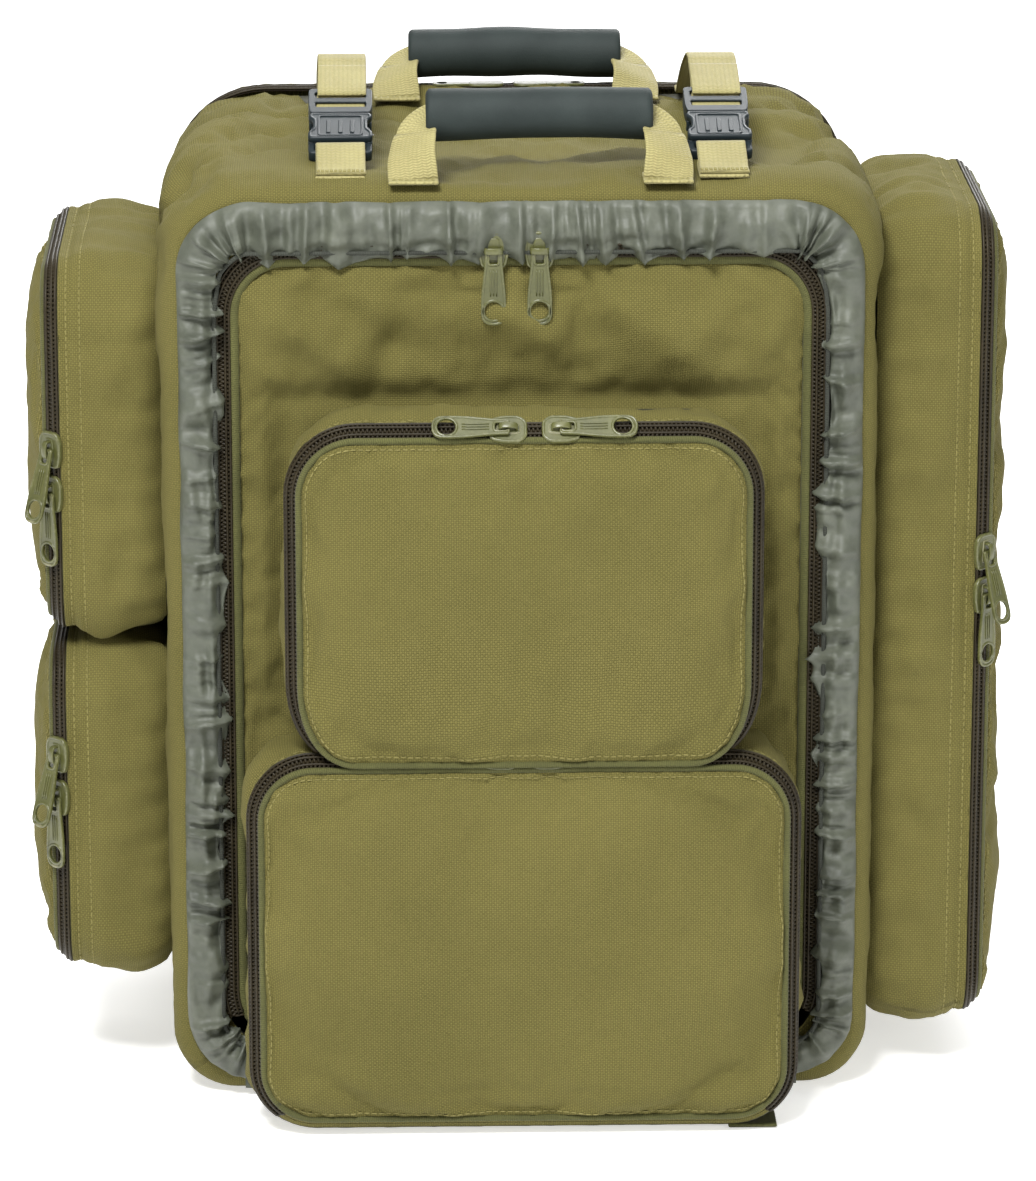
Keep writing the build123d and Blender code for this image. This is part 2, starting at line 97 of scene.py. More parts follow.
# ---------------------------------------------------------------- materials
def new_material(name):
    m = bpy.data.materials.new(name)
    m.use_nodes = True
    t = m.node_tree
    b = t.nodes["Principled BSDF"]
    return m, t, b


def add(t, kind, **props):
    n = t.nodes.new(kind)
    for k, v in props.items():
        setattr(n, k, v)
    return n


def link(t, a, b):
    t.links.new(a, b)


def math_node(t, op, a, b=None, clamp=False):
    n = add(t, "ShaderNodeMath", operation=op, use_clamp=clamp)
    for i, v in enumerate((a, b)):
        if v is None:
            continue
        if isinstance(v, (int, float)):
            n.inputs[i].default_value = v
        else:
            link(t, v, n.inputs[i])
    return n.outputs[0]


def mix_color(t, fac, a, b):
    n = add(t, "ShaderNodeMix", data_type="RGBA")
    for i, v in ((0, fac), (6, a), (7, b)):
        if isinstance(v, (int, float)):
            n.inputs[i].default_value = v
        elif isinstance(v, tuple):
            n.inputs[i].default_value = (*v, 1)
        else:
            link(t, v, n.inputs[i])
    return n.outputs[2]


def noise(t, scale, detail=2.0, rough=0.5, vector=None):
    n = add(t, "ShaderNodeTexNoise")
    n.inputs["Scale"].default_value = scale
    n.inputs["Detail"].default_value = detail
    n.inputs["Roughness"].default_value = rough
    if vector is not None:
        link(t, vector, n.inputs["Vector"])
    return n.outputs["Fac"]


def bump(t, height, strength, distance, before=None):
    n = add(t, "ShaderNodeBump")
    n.inputs["Strength"].default_value = strength
    n.inputs["Distance"].default_value = distance
    link(t, height, n.inputs["Height"])
    if before is not None:
        link(t, before, n.inputs["Normal"])
    return n.outputs["Normal"]


def uv_mm(t):
    """The piece's own cloth coordinates, in millimetres."""
    uv = add(t, "ShaderNodeUVMap", uv_map="cloth")
    sep = add(t, "ShaderNodeSeparateXYZ")
    link(t, uv.outputs[0], sep.inputs[0])
    return sep.outputs[0], sep.outputs[1]


def object_coords(t):
    return add(t, "ShaderNodeTexCoord").outputs["Object"]


def ramp(t, fac, stops):
    n = add(t, "ShaderNodeValToRGB")
    e = n.color_ramp.elements
    while len(e) < len(stops):
        e.new(0.5)
    for el, (pos, col) in zip(e, stops):
        el.position = pos
        el.color = (*col, 1)
    link(t, fac, n.inputs[0])
    return n.outputs[0]


def woven(name, dark, light, pitch=1.15, depth=0.00035, rough=0.85, sheen=0.07, tone=0.5,
    crease=0.0012):
    """A plain weave with thick yarns; warp over weft in a checker, with worn, uneven colour."""
    m, t, b = new_material(name)
    u, v = uv_mm(t)
    co = object_coords(t)
    wob = math_node(t, "MULTIPLY", noise(t, 180, 1, 0.5, co), 0.5)
    un = math_node(t, "ADD", math_node(t, "MULTIPLY", u, math.pi / pitch), wob)
    vn = math_node(t, "ADD", math_node(t, "MULTIPLY", v, math.pi / (pitch * 0.82)), wob)
    su, sv = math_node(t, "SINE", un), math_node(t, "SINE", vn)
    over = math_node(t, "ADD", math_node(t, "MULTIPLY", math_node(t, "MULTIPLY", su, sv), 3.0),
        0.5, True)
    au, av = math_node(t, "ABSOLUTE", su), math_node(t, "ABSOLUTE", sv)
    warp = math_node(t, "MULTIPLY", au, math_node(t, "ADD", math_node(t, "MULTIPLY", av, 0.5), 0.5))
    weft = math_node(t, "MULTIPLY", av, math_node(t, "ADD", math_node(t, "MULTIPLY", au, 0.5), 0.5))
    mixh = add(t, "ShaderNodeMix", data_type="FLOAT")
    link(t, over, mixh.inputs[0])
    link(t, weft, mixh.inputs[2])
    link(t, warp, mixh.inputs[3])
    height = mixh.outputs[0]
    large = noise(t, 9, 4, 0.6, co)
    fine = noise(t, 900, 2, 0.6, co)
    fac = math_node(t, "ADD", math_node(t, "MULTIPLY", large, 0.55),
        math_node(t, "MULTIPLY", fine, 0.45))
    fac = math_node(t, "ADD", fac, tone - 0.5)
    col = ramp(t, fac, ((0.25, dark), (0.72, light)))
    # painted shade: the colour darkens towards a dark tone in the low gaps between the yarns
    shade = mix_color(t, math_node(t, "ADD", math_node(t, "MULTIPLY", height, 0.86), 0.2, True),
        tuple(c * 0.4 for c in dark), col)
    tinted = mix_color(t, math_node(t, "MULTIPLY", over, 0.22), shade,
        tuple(min(1, c * 1.35) for c in light))
    link(t, tinted, b.inputs["Base Color"])
    r = math_node(t, "ADD", math_node(t, "MULTIPLY", large, 0.16), rough - 0.08)
    link(t, r, b.inputs["Roughness"])
    first = bump(t, noise(t, 38, 3, 0.55, co), 0.5, crease)
    link(t, bump(t, height, 0.75, depth, first), b.inputs["Normal"])
    b.inputs["Sheen Weight"].default_value = sheen
    b.inputs["Sheen Roughness"].default_value = 0.45
    b.inputs["Sheen Tint"].default_value = (0.55, 0.52, 0.25, 1)
    b.inputs["Specular IOR Level"].default_value = 0.14
    return m


def ribbed(name, dark, light, rib=1.5, across=2.1, depth=0.0003, rough=0.72, sheen=0.06, spec=0.3):
    """Webbing and tape: ribs across the length and a fainter lengthwise stripe."""
    m, t, b = new_material(name)
    u, v = uv_mm(t)
    co = object_coords(t)
    wob = math_node(t, "MULTIPLY", noise(t, 220, 1, 0.5, co), 0.6)
    chev = math_node(t, "ABSOLUTE",
        math_node(t, "SINE", math_node(t, "MULTIPLY", v, math.pi / (2 * across))))
    un = math_node(t, "ADD", math_node(t, "MULTIPLY", u, math.pi / rib),
        math_node(t, "ADD", wob, math_node(t, "MULTIPLY", chev, 1.5)))
    ribs = math_node(t, "ABSOLUTE", math_node(t, "SINE", un))
    cols = math_node(t, "ABSOLUTE",
        math_node(t, "SINE", math_node(t, "MULTIPLY", v, math.pi / across)))
    height = math_node(t, "MULTIPLY", ribs,
        math_node(t, "ADD", math_node(t, "MULTIPLY", cols, 0.4), 0.6))
    large = noise(t, 26, 3, 0.6, co)
    fac = math_node(t, "ADD", math_node(t, "MULTIPLY", large, 0.6),
        math_node(t, "MULTIPLY", noise(t, 1100, 2, 0.6, co), 0.4))
    col = ramp(t, fac, ((0.28, dark), (0.7, light)))
    # painted shade: the colour darkens towards a dark tone in the low grooves between the ribs
    shade = mix_color(t, math_node(t, "ADD", math_node(t, "MULTIPLY", height, 0.55), 0.45, True),
        tuple(c * 0.45 for c in dark), col)
    link(t, shade, b.inputs["Base Color"])
    link(t, math_node(t, "ADD", math_node(t, "MULTIPLY", large, 0.2), rough - 0.1),
        b.inputs["Roughness"])
    link(t, bump(t, height, 0.8, depth), b.inputs["Normal"])
    b.inputs["Sheen Weight"].default_value = sheen
    b.inputs["Specular IOR Level"].default_value = spec
    return m


def coated(name, dark, light, rough=0.4):
    """Thin coated cloth: a fine crinkle and a satin surface."""
    m, t, b = new_material(name)
    co = object_coords(t)
    large = noise(t, 30, 4, 0.6, co)
    fine = noise(t, 260, 3, 0.6, co)
    col = ramp(t, math_node(t, "ADD", math_node(t, "MULTIPLY", large, 0.7),
        math_node(t, "MULTIPLY", fine, 0.3)), ((0.3, dark), (0.72, light)))
    link(t, col, b.inputs["Base Color"])
    link(t, math_node(t, "ADD", math_node(t, "MULTIPLY", fine, 0.2), rough - 0.1),
        b.inputs["Roughness"])
    first = bump(t, noise(t, 120, 4, 0.65, co), 0.6, 0.0009)
    u, v = uv_mm(t)
    grid = math_node(t, "MULTIPLY",
        math_node(t, "ABSOLUTE", math_node(t, "SINE", math_node(t, "MULTIPLY", u, 5.2))),
        math_node(t, "ABSOLUTE", math_node(t, "SINE", math_node(t, "MULTIPLY", v, 5.2))))
    link(t, bump(t, grid, 0.35, 0.00012, first), b.inputs["Normal"])
    b.inputs["Specular IOR Level"].default_value = 0.5
    b.inputs["Coat Weight"].default_value = 0.03
    b.inputs["Coat Roughness"].default_value = 0.3
    return m


def enamel(name, dark, light, edge_color):
    """Satin enamel over a die-cast body, its colour mixed towards a lighter tone along its sharp edges."""
    m, t, b = new_material(name)
    co = object_coords(t)
    large = noise(t, 60, 3, 0.6, co)
    fine = noise(t, 700, 3, 0.6, co)
    col = ramp(t, math_node(t, "ADD", math_node(t, "MULTIPLY", large, 0.6),
        math_node(t, "MULTIPLY", fine, 0.4)), ((0.3, dark), (0.7, light)))
    # the colour turns lighter along sharp edges, where pointiness is high, broken up by the fine noise
    geo = add(t, "ShaderNodeNewGeometry")
    edge = math_node(t, "ADD", math_node(t, "MULTIPLY", geo.outputs["Pointiness"], 9.0),
        math_node(t, "MULTIPLY", fine, 1.2))
    edge_ramp = ramp(t, math_node(t, "SUBTRACT", edge, 5.2), ((0.35, (0, 0, 0)), (0.8, (1, 1, 1))))
    edge_amount = math_node(t, "MULTIPLY", edge_ramp, 0.55)
    link(t, mix_color(t, edge_amount, col, edge_color), b.inputs["Base Color"])
    link(t, math_node(t, "ADD", math_node(t, "MULTIPLY", fine, 0.22), 0.26), b.inputs["Roughness"])
    link(t, bump(t, noise(t, 1500, 2, 0.5, co), 0.25, 0.00008), b.inputs["Normal"])
    b.inputs["Coat Weight"].default_value = 0.12
    b.inputs["Coat Roughness"].default_value = 0.22
    return m


def moulded(name, dark, light, rough=0.38, grain=900, depth=0.00006, spec=0.5):
    m, t, b = new_material(name)
    co = object_coords(t)
    large = noise(t, 40, 3, 0.6, co)
    fine = noise(t, grain, 3, 0.6, co)
    col = ramp(t, math_node(t, "ADD", math_node(t, "MULTIPLY", large, 0.6),
        math_node(t, "MULTIPLY", fine, 0.4)), ((0.3, dark), (0.72, light)))
    link(t, col, b.inputs["Base Color"])
    link(t, math_node(t, "ADD", math_node(t, "MULTIPLY", fine, 0.18), rough - 0.09),
        b.inputs["Roughness"])
    link(t, bump(t, fine, 0.5, depth), b.inputs["Normal"])
    b.inputs["Specular IOR Level"].default_value = spec
    return m


MAT = {
    "cloth": woven("olive_weave", (0.084, 0.075, 0.0185), (0.166, 0.146, 0.045), 1.15),
    "cloth_back": woven("olive_weave_back", (0.076, 0.069, 0.019), (0.15, 0.133, 0.044), 1.15),
    "lining": coated("dark_lining", (0.026, 0.026, 0.014), (0.055, 0.053, 0.03), 0.6),
    "binding": ribbed("binding_tape", (0.05, 0.051, 0.012), (0.1, 0.1, 0.028), 1.1, 3.2, 0.00022,
    0.8),
    "webbing": ribbed("straw_webbing", (0.235, 0.205, 0.076), (0.375, 0.338, 0.146), 1.45, 2.3,
    0.0003, 0.7),
    "tape": ribbed("zip_tape", (0.012, 0.008, 0.004), (0.026, 0.017, 0.009), 0.9, 1.6, 0.00015,
    0.85, 0.0, 0.15),
    "tape_green": ribbed("green_zip_tape", (0.06, 0.066, 0.017), (0.115, 0.12, 0.037), 0.9, 1.6,
    0.00015, 0.8),
    "coil": moulded("zip_coil", (0.011, 0.008, 0.0032), (0.031, 0.0235, 0.0105), 0.5, spec=0.2),
    "skirt": coated("skirt_cloth", (0.042, 0.048, 0.034), (0.098, 0.106, 0.078), 0.54),
    "enamel": enamel("olive_enamel", (0.05, 0.053, 0.013), (0.098, 0.1, 0.031),
    (0.24, 0.225, 0.14)),
    "plastic": moulded("slate_plastic", (0.007, 0.0115, 0.0135), (0.018, 0.026, 0.029), 0.42,
    spec=0.25),
    "foam": moulded("grip_foam", (0.009, 0.0145, 0.0135), (0.022, 0.031, 0.029), 0.7, 1400, 0.0002,
    0.3),
    "thread": moulded("thread", (0.12, 0.105, 0.03), (0.22, 0.195, 0.065), 0.75, 2500, 0.00005,
    0.3),
    "pale_thread": moulded("pale_thread", (0.17, 0.148, 0.052), (0.29, 0.262, 0.1), 0.75, 2500,
    0.00005, 0.3),
    "mesh": woven("back_mesh", (0.045, 0.042, 0.016), (0.1, 0.093, 0.038), 2.4, 0.0009, 0.85, 0.05),
    "elastic": ribbed("elastic_cord", (0.02, 0.022, 0.017), (0.05, 0.055, 0.042), 1.2, 1.6, 0.0002,
    0.8),
}


# ---------------------------------------------------------------- mesh building
class Piece:
    """Gathers surfaces in design millimetres and makes one object of them."""

    def __init__(self, name, body):
        self.name, self.body = name, body
        self.v, self.f, self.m, self.uv, self.mats, self.count = [], [], [], [], [], 0

    def add(self, verts, faces, mat, uv=None):
        verts = np.asarray(verts, float).reshape(-1, 3)
        faces = [tuple(int(i) + self.count for i in f) for f in faces]
        if mat not in self.mats:
            self.mats.append(mat)
        self.v.append(verts)
        self.f.extend(faces)
        self.m.extend([self.mats.index(mat)] * len(faces))
        if uv is None:
            uv = box_uv(verts, faces, self.count)
        else:
            uv = np.asarray(uv, float)
            idx = np.array([i - self.count for f in faces for i in f])
            uv = uv[idx]
        self.uv.append(uv)
        self.count += len(verts)

    def build(self, *replaced, slot=None, flat_shade=False):
        verts = np.concatenate(self.v) + np.array([0, Y_OFFSET, 0])
        verts[:, 2] = np.maximum(verts[:, 2], FLOOR_GAP)
        me = bpy.data.meshes.new(self.name)
        me.from_pydata((verts * 0.001).tolist(), [], self.f)
        me.polygons.foreach_set("material_index", self.m)
        layer = me.uv_layers.new(name="cloth")
        layer.data.foreach_set("uv", np.concatenate(self.uv).ravel())
        if not flat_shade:
            me.polygons.foreach_set("use_smooth", [True] * len(me.polygons))
        me.validate()
        me.update()
        for m in self.mats:
            me.materials.append(MAT[m])
        ob = bpy.data.objects.new(self.name, me)
        bpy.context.scene.collection.objects.link(ob)
        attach(ob, self.body)
        if replaced:
            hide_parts(*replaced)
        return ob


def box_uv(verts, faces, start):
    out = []
    for f in faces:
        p = verts[[i - start for i in f]]
        n = np.abs(np.cross(p[1] - p[0], p[2] - p[0]))
        if n[1] >= n[0] and n[1] >= n[2]:
            out.append(p[:, [0, 2]])
        elif n[0] >= n[2]:
            out.append(p[:, [1, 2]])
        else:
            out.append(p[:, [0, 1]])
    return np.concatenate(out)


def grid_faces(rows, cols, closed=False, flip=False):
    fs = []
    c = cols if closed else cols - 1
    for i in range(rows - 1):
        for j in range(c):
            a, b = i * cols + j, i * cols + (j + 1) % cols
            d, e = a + cols, b + cols
            fs.append((a, d, e, b) if flip else (a, b, e, d))
    return fs


class Place:
    """A flat frame: origin, x and y along the face, w out of it."""

    def __init__(self, origin, ex, ey):
        self.o, self.ex, self.ey = (np.array(q, float) for q in (origin, ex, ey))
        self.ew = np.cross(self.ex, self.ey)

    def __call__(self, p):
        p = np.asarray(p, float).reshape(-1, 3)
        return self.o + p[:, :1] * self.ex + p[:, 1:2] * self.ey + p[:, 2:3] * self.ew

    def vec(self, p):
        p = np.asarray(p, float).reshape(-1, 3)
        return p[:, :1] * self.ex + p[:, 1:2] * self.ey + p[:, 2:3] * self.ew


class SaggingPlace(Place):
    """A flat frame whose lowest part sags: the fuller the pad, the further it hangs."""

    def __init__(self, base, half, start, wall_drop, pad_drop, depth):
        super().__init__(base.o, base.ex, base.ey)
        self.sag = half, start, wall_drop, pad_drop, depth

    def __call__(self, p):
        p = np.array(p, float).reshape(-1, 3)
        half, start, wall_drop, pad_drop, depth = self.sag
        low = smooth(-p[:, 1], start, half)
        drop = wall_drop * smooth(p[:, 2], 8, depth) + pad_drop * smooth(p[:, 2], depth - 1,
            depth + 7)
        p[:, 1] -= low * drop
        p[:, 2] += 2.0 * low * smooth(p[:, 2], depth - 1, depth + 7) * smooth(-p[:, 1], half - 26,
            half - 4)
        return super().__call__(p)


class Outline:
    """A rounded rectangle of half sizes a and b, with the same count of points at any inset."""

    def __init__(self, a, b, r, step=4.0, corner=8):
        self.a, self.b, self.r, self.nc = a, b, r, corner // 2
        self.nx = max(4, int(round(2 * (a - r) / step)))
        self.ny = max(4, int(round(2 * (b - r) / step)))

    def sides(self, inset=0.0):
        a, b = self.a - inset, self.b - inset
        r = max(self.r - inset, 1.5)
        cx, cy = a - r, b - r

        def arc(x, y, start, end):
            th = np.radians(np.linspace(start, end, self.nc + 1))
            return np.stack([x + r * np.cos(th), y + r * np.sin(th)], 1)

        def line(p, q, n):
            t = np.linspace(0, 1, n + 1)[1:-1, None]
            return np.array(p) * (1 - t) + np.array(q) * t

        bottom = np.concatenate([arc(-cx, -cy, 225, 270), line((-cx, -b), (cx, -b), self.nx),
            arc(cx, -cy, 270, 315)])
        right = np.concatenate([arc(cx, -cy, 315, 360), line((a, -cy), (a, cy), self.ny),
            arc(cx, cy, 0, 45)])
        top = np.concatenate([arc(cx, cy, 45, 90), line((cx, b), (-cx, b), self.nx),
            arc(-cx, cy, 90, 135)])
        left = np.concatenate([arc(-cx, cy, 135, 180), line((-a, cy), (-a, -cy), self.ny),
            arc(-cx, -cy, 180, 225)])
        return bottom, right, top, left

    def loop(self, inset=0.0):
        return np.concatenate([s[:-1] for s in self.sides(inset)])

    def normals(self):
        p = self.loop(0)
        cx, cy = self.a - self.r, self.b - self.r
        q = p - np.clip(p, (-cx, -cy), (cx, cy))
        return q / np.maximum(np.linalg.norm(q, axis=1)[:, None], 1e-9)

    def cap(self, inset=0.0):
        """A grid of points that fills the loop, and its faces."""
        bottom, right, top, left = self.sides(inset)
        top, left = top[::-1], left[::-1]
        nu, nv = len(bottom), len(right)
        u = np.linspace(0, 1, nu)[None, :, None]
        v = np.linspace(0, 1, nv)[:, None, None]
        g = (1 - v) * bottom[None] + v * top[None] + (1 - u) * left[:, None] + u * right[:, None]
        c00, c10, c01, c11 = bottom[0], bottom[-1], top[0], top[-1]
        g = g - ((1 - u) * (1 - v) * c00 + u * (1 - v) * c10 + (1 - u) * v * c01 + u * v * c11)
        return g.reshape(-1, 2), grid_faces(nv, nu)

    def inside(self, p, inset=0.0):
        """How far inside the inset outline each point is."""
        r = max(self.r - inset, 1.5)
        q = np.abs(p) - np.array([self.a - inset - r, self.b - inset - r])
        return r - np.linalg.norm(np.maximum(q, 0), axis=1) - np.minimum(q.max(1), 0)


def with_w(p, w):
    return np.column_stack([p, np.broadcast_to(w, len(p))])


def arc_length(path):
    return np.concatenate([[0], np.cumsum(np.linalg.norm(np.diff(path, axis=0), axis=1))])


def resample(path, step, extra=None):
    """Points at an even step along a path, and any other per-point arrays with them."""
    s = arc_length(path)
    n = max(2, int(round(s[-1] / step)) + 1)
    t = np.linspace(0, s[-1], n)
    out = [np.stack([np.interp(t, s, path[:, k]) for k in range(path.shape[1])], 1)]
    for e in extra or ():
        q = np.stack([np.interp(t, s, e[:, k]) for k in range(3)], 1)
        out.append(q / np.maximum(np.linalg.norm(q, axis=1)[:, None], 1e-9))
    return out if extra else out[0]


def tangents(path, closed=False):
    if closed:
        d = np.roll(path, -1, 0) - np.roll(path, 1, 0)
    else:
        d = np.gradient(path, axis=0)
    return d / np.maximum(np.linalg.norm(d, axis=1)[:, None], 1e-9)


def sweep(piece, path, up, section, mat, closed=False, scale=None, caps=True):
    """A section (across, up) along a path; up gives each point's up direction."""
    path = np.asarray(path, float)
    up = np.broadcast_to(np.asarray(up, float), path.shape)
    t = tangents(path, closed)
    side = np.cross(t, up)
    side /= np.maximum(np.linalg.norm(side, axis=1)[:, None], 1e-9)
    upn = np.cross(side, t)
    section = np.asarray(section, float)
    n, k = len(path), len(section)
    sc = np.ones((n, 1)) if scale is None else np.asarray(scale, float).reshape(-1, 1)
    v = path[:, None] + side[:, None] * (section[None, :, 0] * sc)[..., None] + upn[:,
        None] * (section[None, :, 1] * sc)[..., None]
    f = []
    rows = n if closed else n - 1
    for i in range(rows):
        for j in range(k):
            a, b = i * k + j, i * k + (j + 1) % k
            c, d = ((i + 1) % n) * k + (j + 1) % k, ((i + 1) % n) * k + j
            f.append((a, b, c, d))
    if caps and not closed:
        f.append(tuple(range(k))[::-1])
        f.append(tuple((n - 1) * k + j for j in range(k)))
    s = arc_length(path)
    edge = np.concatenate([[0], np.cumsum(np.linalg.norm(np.diff(section, axis=0), axis=1))])
    uv = np.stack([np.repeat(s[:n], k), np.tile(edge[:k], n)], 1)
    piece.add(v.reshape(-1, 3), f, mat, uv)


def circle(r, n=10, squash=1.0):
    a = np.linspace(0, 2 * math.pi, n, endpoint=False)
    return np.stack([np.cos(a) * r, np.sin(a) * r * squash], 1)


def strip_section(width, thick):
    """A flat band's section with rounded edges."""
    w, h = width / 2, thick / 2
    xs = np.linspace(-w + h, w - h, 9)
    low = [(x, -h) for x in xs]
    high = [(x, h) for x in xs[::-1]]
    return np.array(low + [(w - h * 0.3, -h * 0.7), (w, 0),
        (w - h * 0.3, h * 0.7)] + high + [(-w + h * 0.3, h * 0.7), (-w, 0),
        (-w + h * 0.3, -h * 0.7)])


def capsules(piece, centres, along, up, length, width, height, mat, skew=0.0):
    """Many small rounded bars: stitches or zip teeth."""
    centres, along, up = (np.asarray(q, float) for q in (centres, along, up))
    up = np.broadcast_to(up, centres.shape)
    side = np.cross(along, up)
    side /= np.maximum(np.linalg.norm(side, axis=1)[:, None], 1e-9)
    rings = ((-0.5, 0.35), (-0.36, 1.0), (0.36, 1.0), (0.5, 0.35))
    k = 6
    ang = np.linspace(0, 2 * math.pi, k, endpoint=False)
    loc = []
    for pos, r in rings:
        for a in ang:
            loc.append((pos * length, math.cos(a) * width / 2 * r, math.sin(a) * height / 2 * r))
    loc = np.array(loc)
    v = (
        centres[:, None]
        + along[:, None] * loc[None, :, :1]
        + side[:, None] * (loc[None, :, 1:2] + skew * loc[None, :, :1])
        + up[:, None] * loc[None, :, 2:3]
    )
    base = []
    for i in range(3):
        for j in range(k):
            a, b = i * k + j, i * k + (j + 1) % k
            base.append((a, b, b + k, a + k))
    base.append(tuple(range(k))[::-1])
    base.append(tuple(3 * k + j for j in range(k)))
    f = [tuple(q + i * 24 for q in face) for i in range(len(centres)) for face in base]
    uv = np.tile(loc[:, :2], (len(centres), 1))
    piece.add(v.reshape(-1, 3), f, mat, uv)


def stitch_line(piece, path, normal, lift=0.15, pitch=3.7, length=2.7, mat="thread"):
    path = np.asarray(path, float)
    normal = np.broadcast_to(np.asarray(normal, float), path.shape)
    p, n = resample(path, pitch, [normal])
    capsules(piece, p + n * lift, tangents(p), n, length, 0.75, 0.7, mat)


def zip_half(piece, path, toward, normal, mat_tape="tape", tape_to=5.6, pitch=2.15, phase=0.0):
    """Half a coil zip: its tape away from the middle line, and its row of coils on it."""
    p, tw, nm = resample(path, pitch, [toward, normal])
    k = 5
    t = np.linspace(0.2, tape_to, k)
    v = p[:, None] - tw[:, None] * t[None, :, None] - nm[:, None] * 0.5
    s = arc_length(p)
    uv = np.stack([np.repeat(s, k), np.tile(t, len(p))], 1)
    fs = grid_faces(len(p), k)
    piece.add(v.reshape(-1, 3), fs, mat_tape, uv)
    c = p - tw * 1.7 + tangents(p) * (phase * pitch)
    capsules(piece, c, tw, nm, 5.2, 1.5, 2.5, "coil", 0.22 if phase else -0.22)
    for off, lift in ((4.1, 0.45), (2.0, 1.15)):
        sweep(piece, p - tw * off + nm * lift, nm, circle(0.7, 6), "coil")


# ---------------------------------------------------------------- cloth surfaces
def pucker(s, d, seed, pitch=10.0, depth=0.55, reach=14.0):
    """Small gathers beside a seam: s along it, d away from it."""
    g = np.random.default_rng(seed)
    ph = g.uniform(0, 6.28, 4)
    w = (
        np.sin(s * 2 * math.pi / pitch + ph[0] + 1.3 * np.sin(s / 37 + ph[1]))
        + 0.6 * np.sin(s * 2 * math.pi / (pitch * 1.7) + ph[2])
        + 0.5 * np.sin(s * 2 * math.pi / (pitch * 0.63) + ph[3])
    )
    return depth * w * 0.5 * np.exp(-np.maximum(d, 0) / reach) * smooth(d, -0.5, 2.5)


def fold(p, start, end, width, height):
    """A soft crease from start to end: a ridge with a valley beside it."""
    a, b = np.array(start, float), np.array(end, float)
    d = b - a
    length = np.linalg.norm(d)
    d /= length
    q = p - a
    t = (q @ d) / length
    bow = 0.08 * length * np.sin(np.clip(t, 0, 1) * math.pi)
    x = q @ np.array([-d[1], d[0]]) - bow
    taper = smooth(t, -0.05, 0.3) * (1 - smooth(t, 0.62, 1.05))
    w = width * (0.6 + 0.8 * np.clip(t, 0, 1))
    return height * taper * (np.exp(-((x / w) ** 2)) - 0.75 * np.exp(-(((x - 1.7 * w) / (1.1 * w)) ** 2)))


def tube_wall(piece, place, outline, rows, mat, field=None):
    """A lofted wall: rows are (inset, w). The field moves points along the wall's normal."""
    normals = outline.normals()
    s = arc_length(np.vstack([outline.loop(0), outline.loop(0)[:1]]))[:-1]
    v, uv = [], []
    run = 0.0
    prev = None
    for inset, w in rows:
        p = outline.loop(inset)
        if prev is not None:
            run += math.hypot(inset - prev[0], w - prev[1])
        prev = (inset, w)
        if field is not None:
            p = p + normals * np.asarray(field(s, p, w)).reshape(-1, 1)
        v.append(with_w(p, w))
        uv.append(np.column_stack([s, np.full(len(s), run)]))
    n = len(s)
    piece.add(place(np.concatenate(v)), grid_faces(len(rows), n, True), mat, np.concatenate(uv))


# ---------------------------------------------------------------- cloth simulation
SIM_FRAMES = 20
SIM_PAD_THICKNESS = 9.0
SEWN_REACH = 40.0


def inflated(name, outline, inset, pressure, slack, limit, sewn_down=None):
    """How far each point of a sewn pad moves in a cloth simulation, softly held under the limit.
    """
    g, faces = outline.cap(inset)
    n = len(g)
    deep = outline.inside(g, inset)
    rim = deep < 0.5
    if sewn_down is not None:
        rim |= sewn_down(g)
        deep = np.minimum(deep, SEWN_REACH) * ~rim
    top = np.column_stack([g, np.full(n, SIM_PAD_THICKNESS / 2)])
    low = np.column_stack([g, np.full(n, -SIM_PAD_THICKNESS / 2)])
    start = np.concatenate([top, low]) * 0.001
    edges = {}
    for f in faces:
        for a, b in zip(f, f[1:] + f[:1]):
            edges[(a, b)] = f
    wall = [(b, a, a + n, b + n) for a, b in edges if (b, a) not in edges]
    me = bpy.data.meshes.new(name)
    me.from_pydata(start.tolist(), [],
        faces + [tuple(i + n for i in f[::-1]) for f in faces] + wall)
    ob = bpy.data.objects.new(name, me)
    bpy.context.scene.collection.objects.link(ob)
    pins = ob.vertex_groups.new(name="pins")
    pins.add([int(i) for i in np.flatnonzero(rim)] + list(range(n, 2 * n)), 1.0, "REPLACE")
    mod = ob.modifiers.new("cloth", "CLOTH")
    s = mod.settings
    s.quality = 6
    s.mass = 0.25
    s.tension_stiffness = s.compression_stiffness = 12
    s.shear_stiffness = 6
    s.bending_stiffness = 0.35
    s.use_pressure = True
    s.uniform_pressure_force = pressure
    s.shrink_min = -slack
    s.vertex_group_mass = "pins"
    s.effector_weights.gravity = 0
    mod.collision_settings.use_collision = False
    for frame_number in range(1, SIM_FRAMES + 1):
        bpy.context.scene.frame_set(frame_number)
    shape = ob.evaluated_get(bpy.context.evaluated_depsgraph_get()).data
    end = np.empty(len(shape.vertices) * 3)
    shape.vertices.foreach_get("co", end)
    move = np.nan_to_num((end.reshape(-1, 3)[:n] - start[:n]) * 1000)
    move = limit * np.tanh(move / limit)
    bpy.data.objects.remove(ob, do_unlink=True)
    bpy.data.meshes.remove(me)
    bpy.context.scene.frame_set(1)
    return g, faces, move


def nearby(points, cloud, values):
    """The values of a cloud of points, blended from the nearest four."""
    out = []
    for p in points:
        d = np.linalg.norm(cloud - p, axis=1)
        near = np.argpartition(d, 4)[:4]
        w = 1 / (d[near] + 0.05)
        out.append((values[near] * w[:, None]).sum(0) / w.sum())
    return np.array(out)


PAD_INSET = 8.2
STITCH_INSET = 11.4
PAD_TOP = 22.0


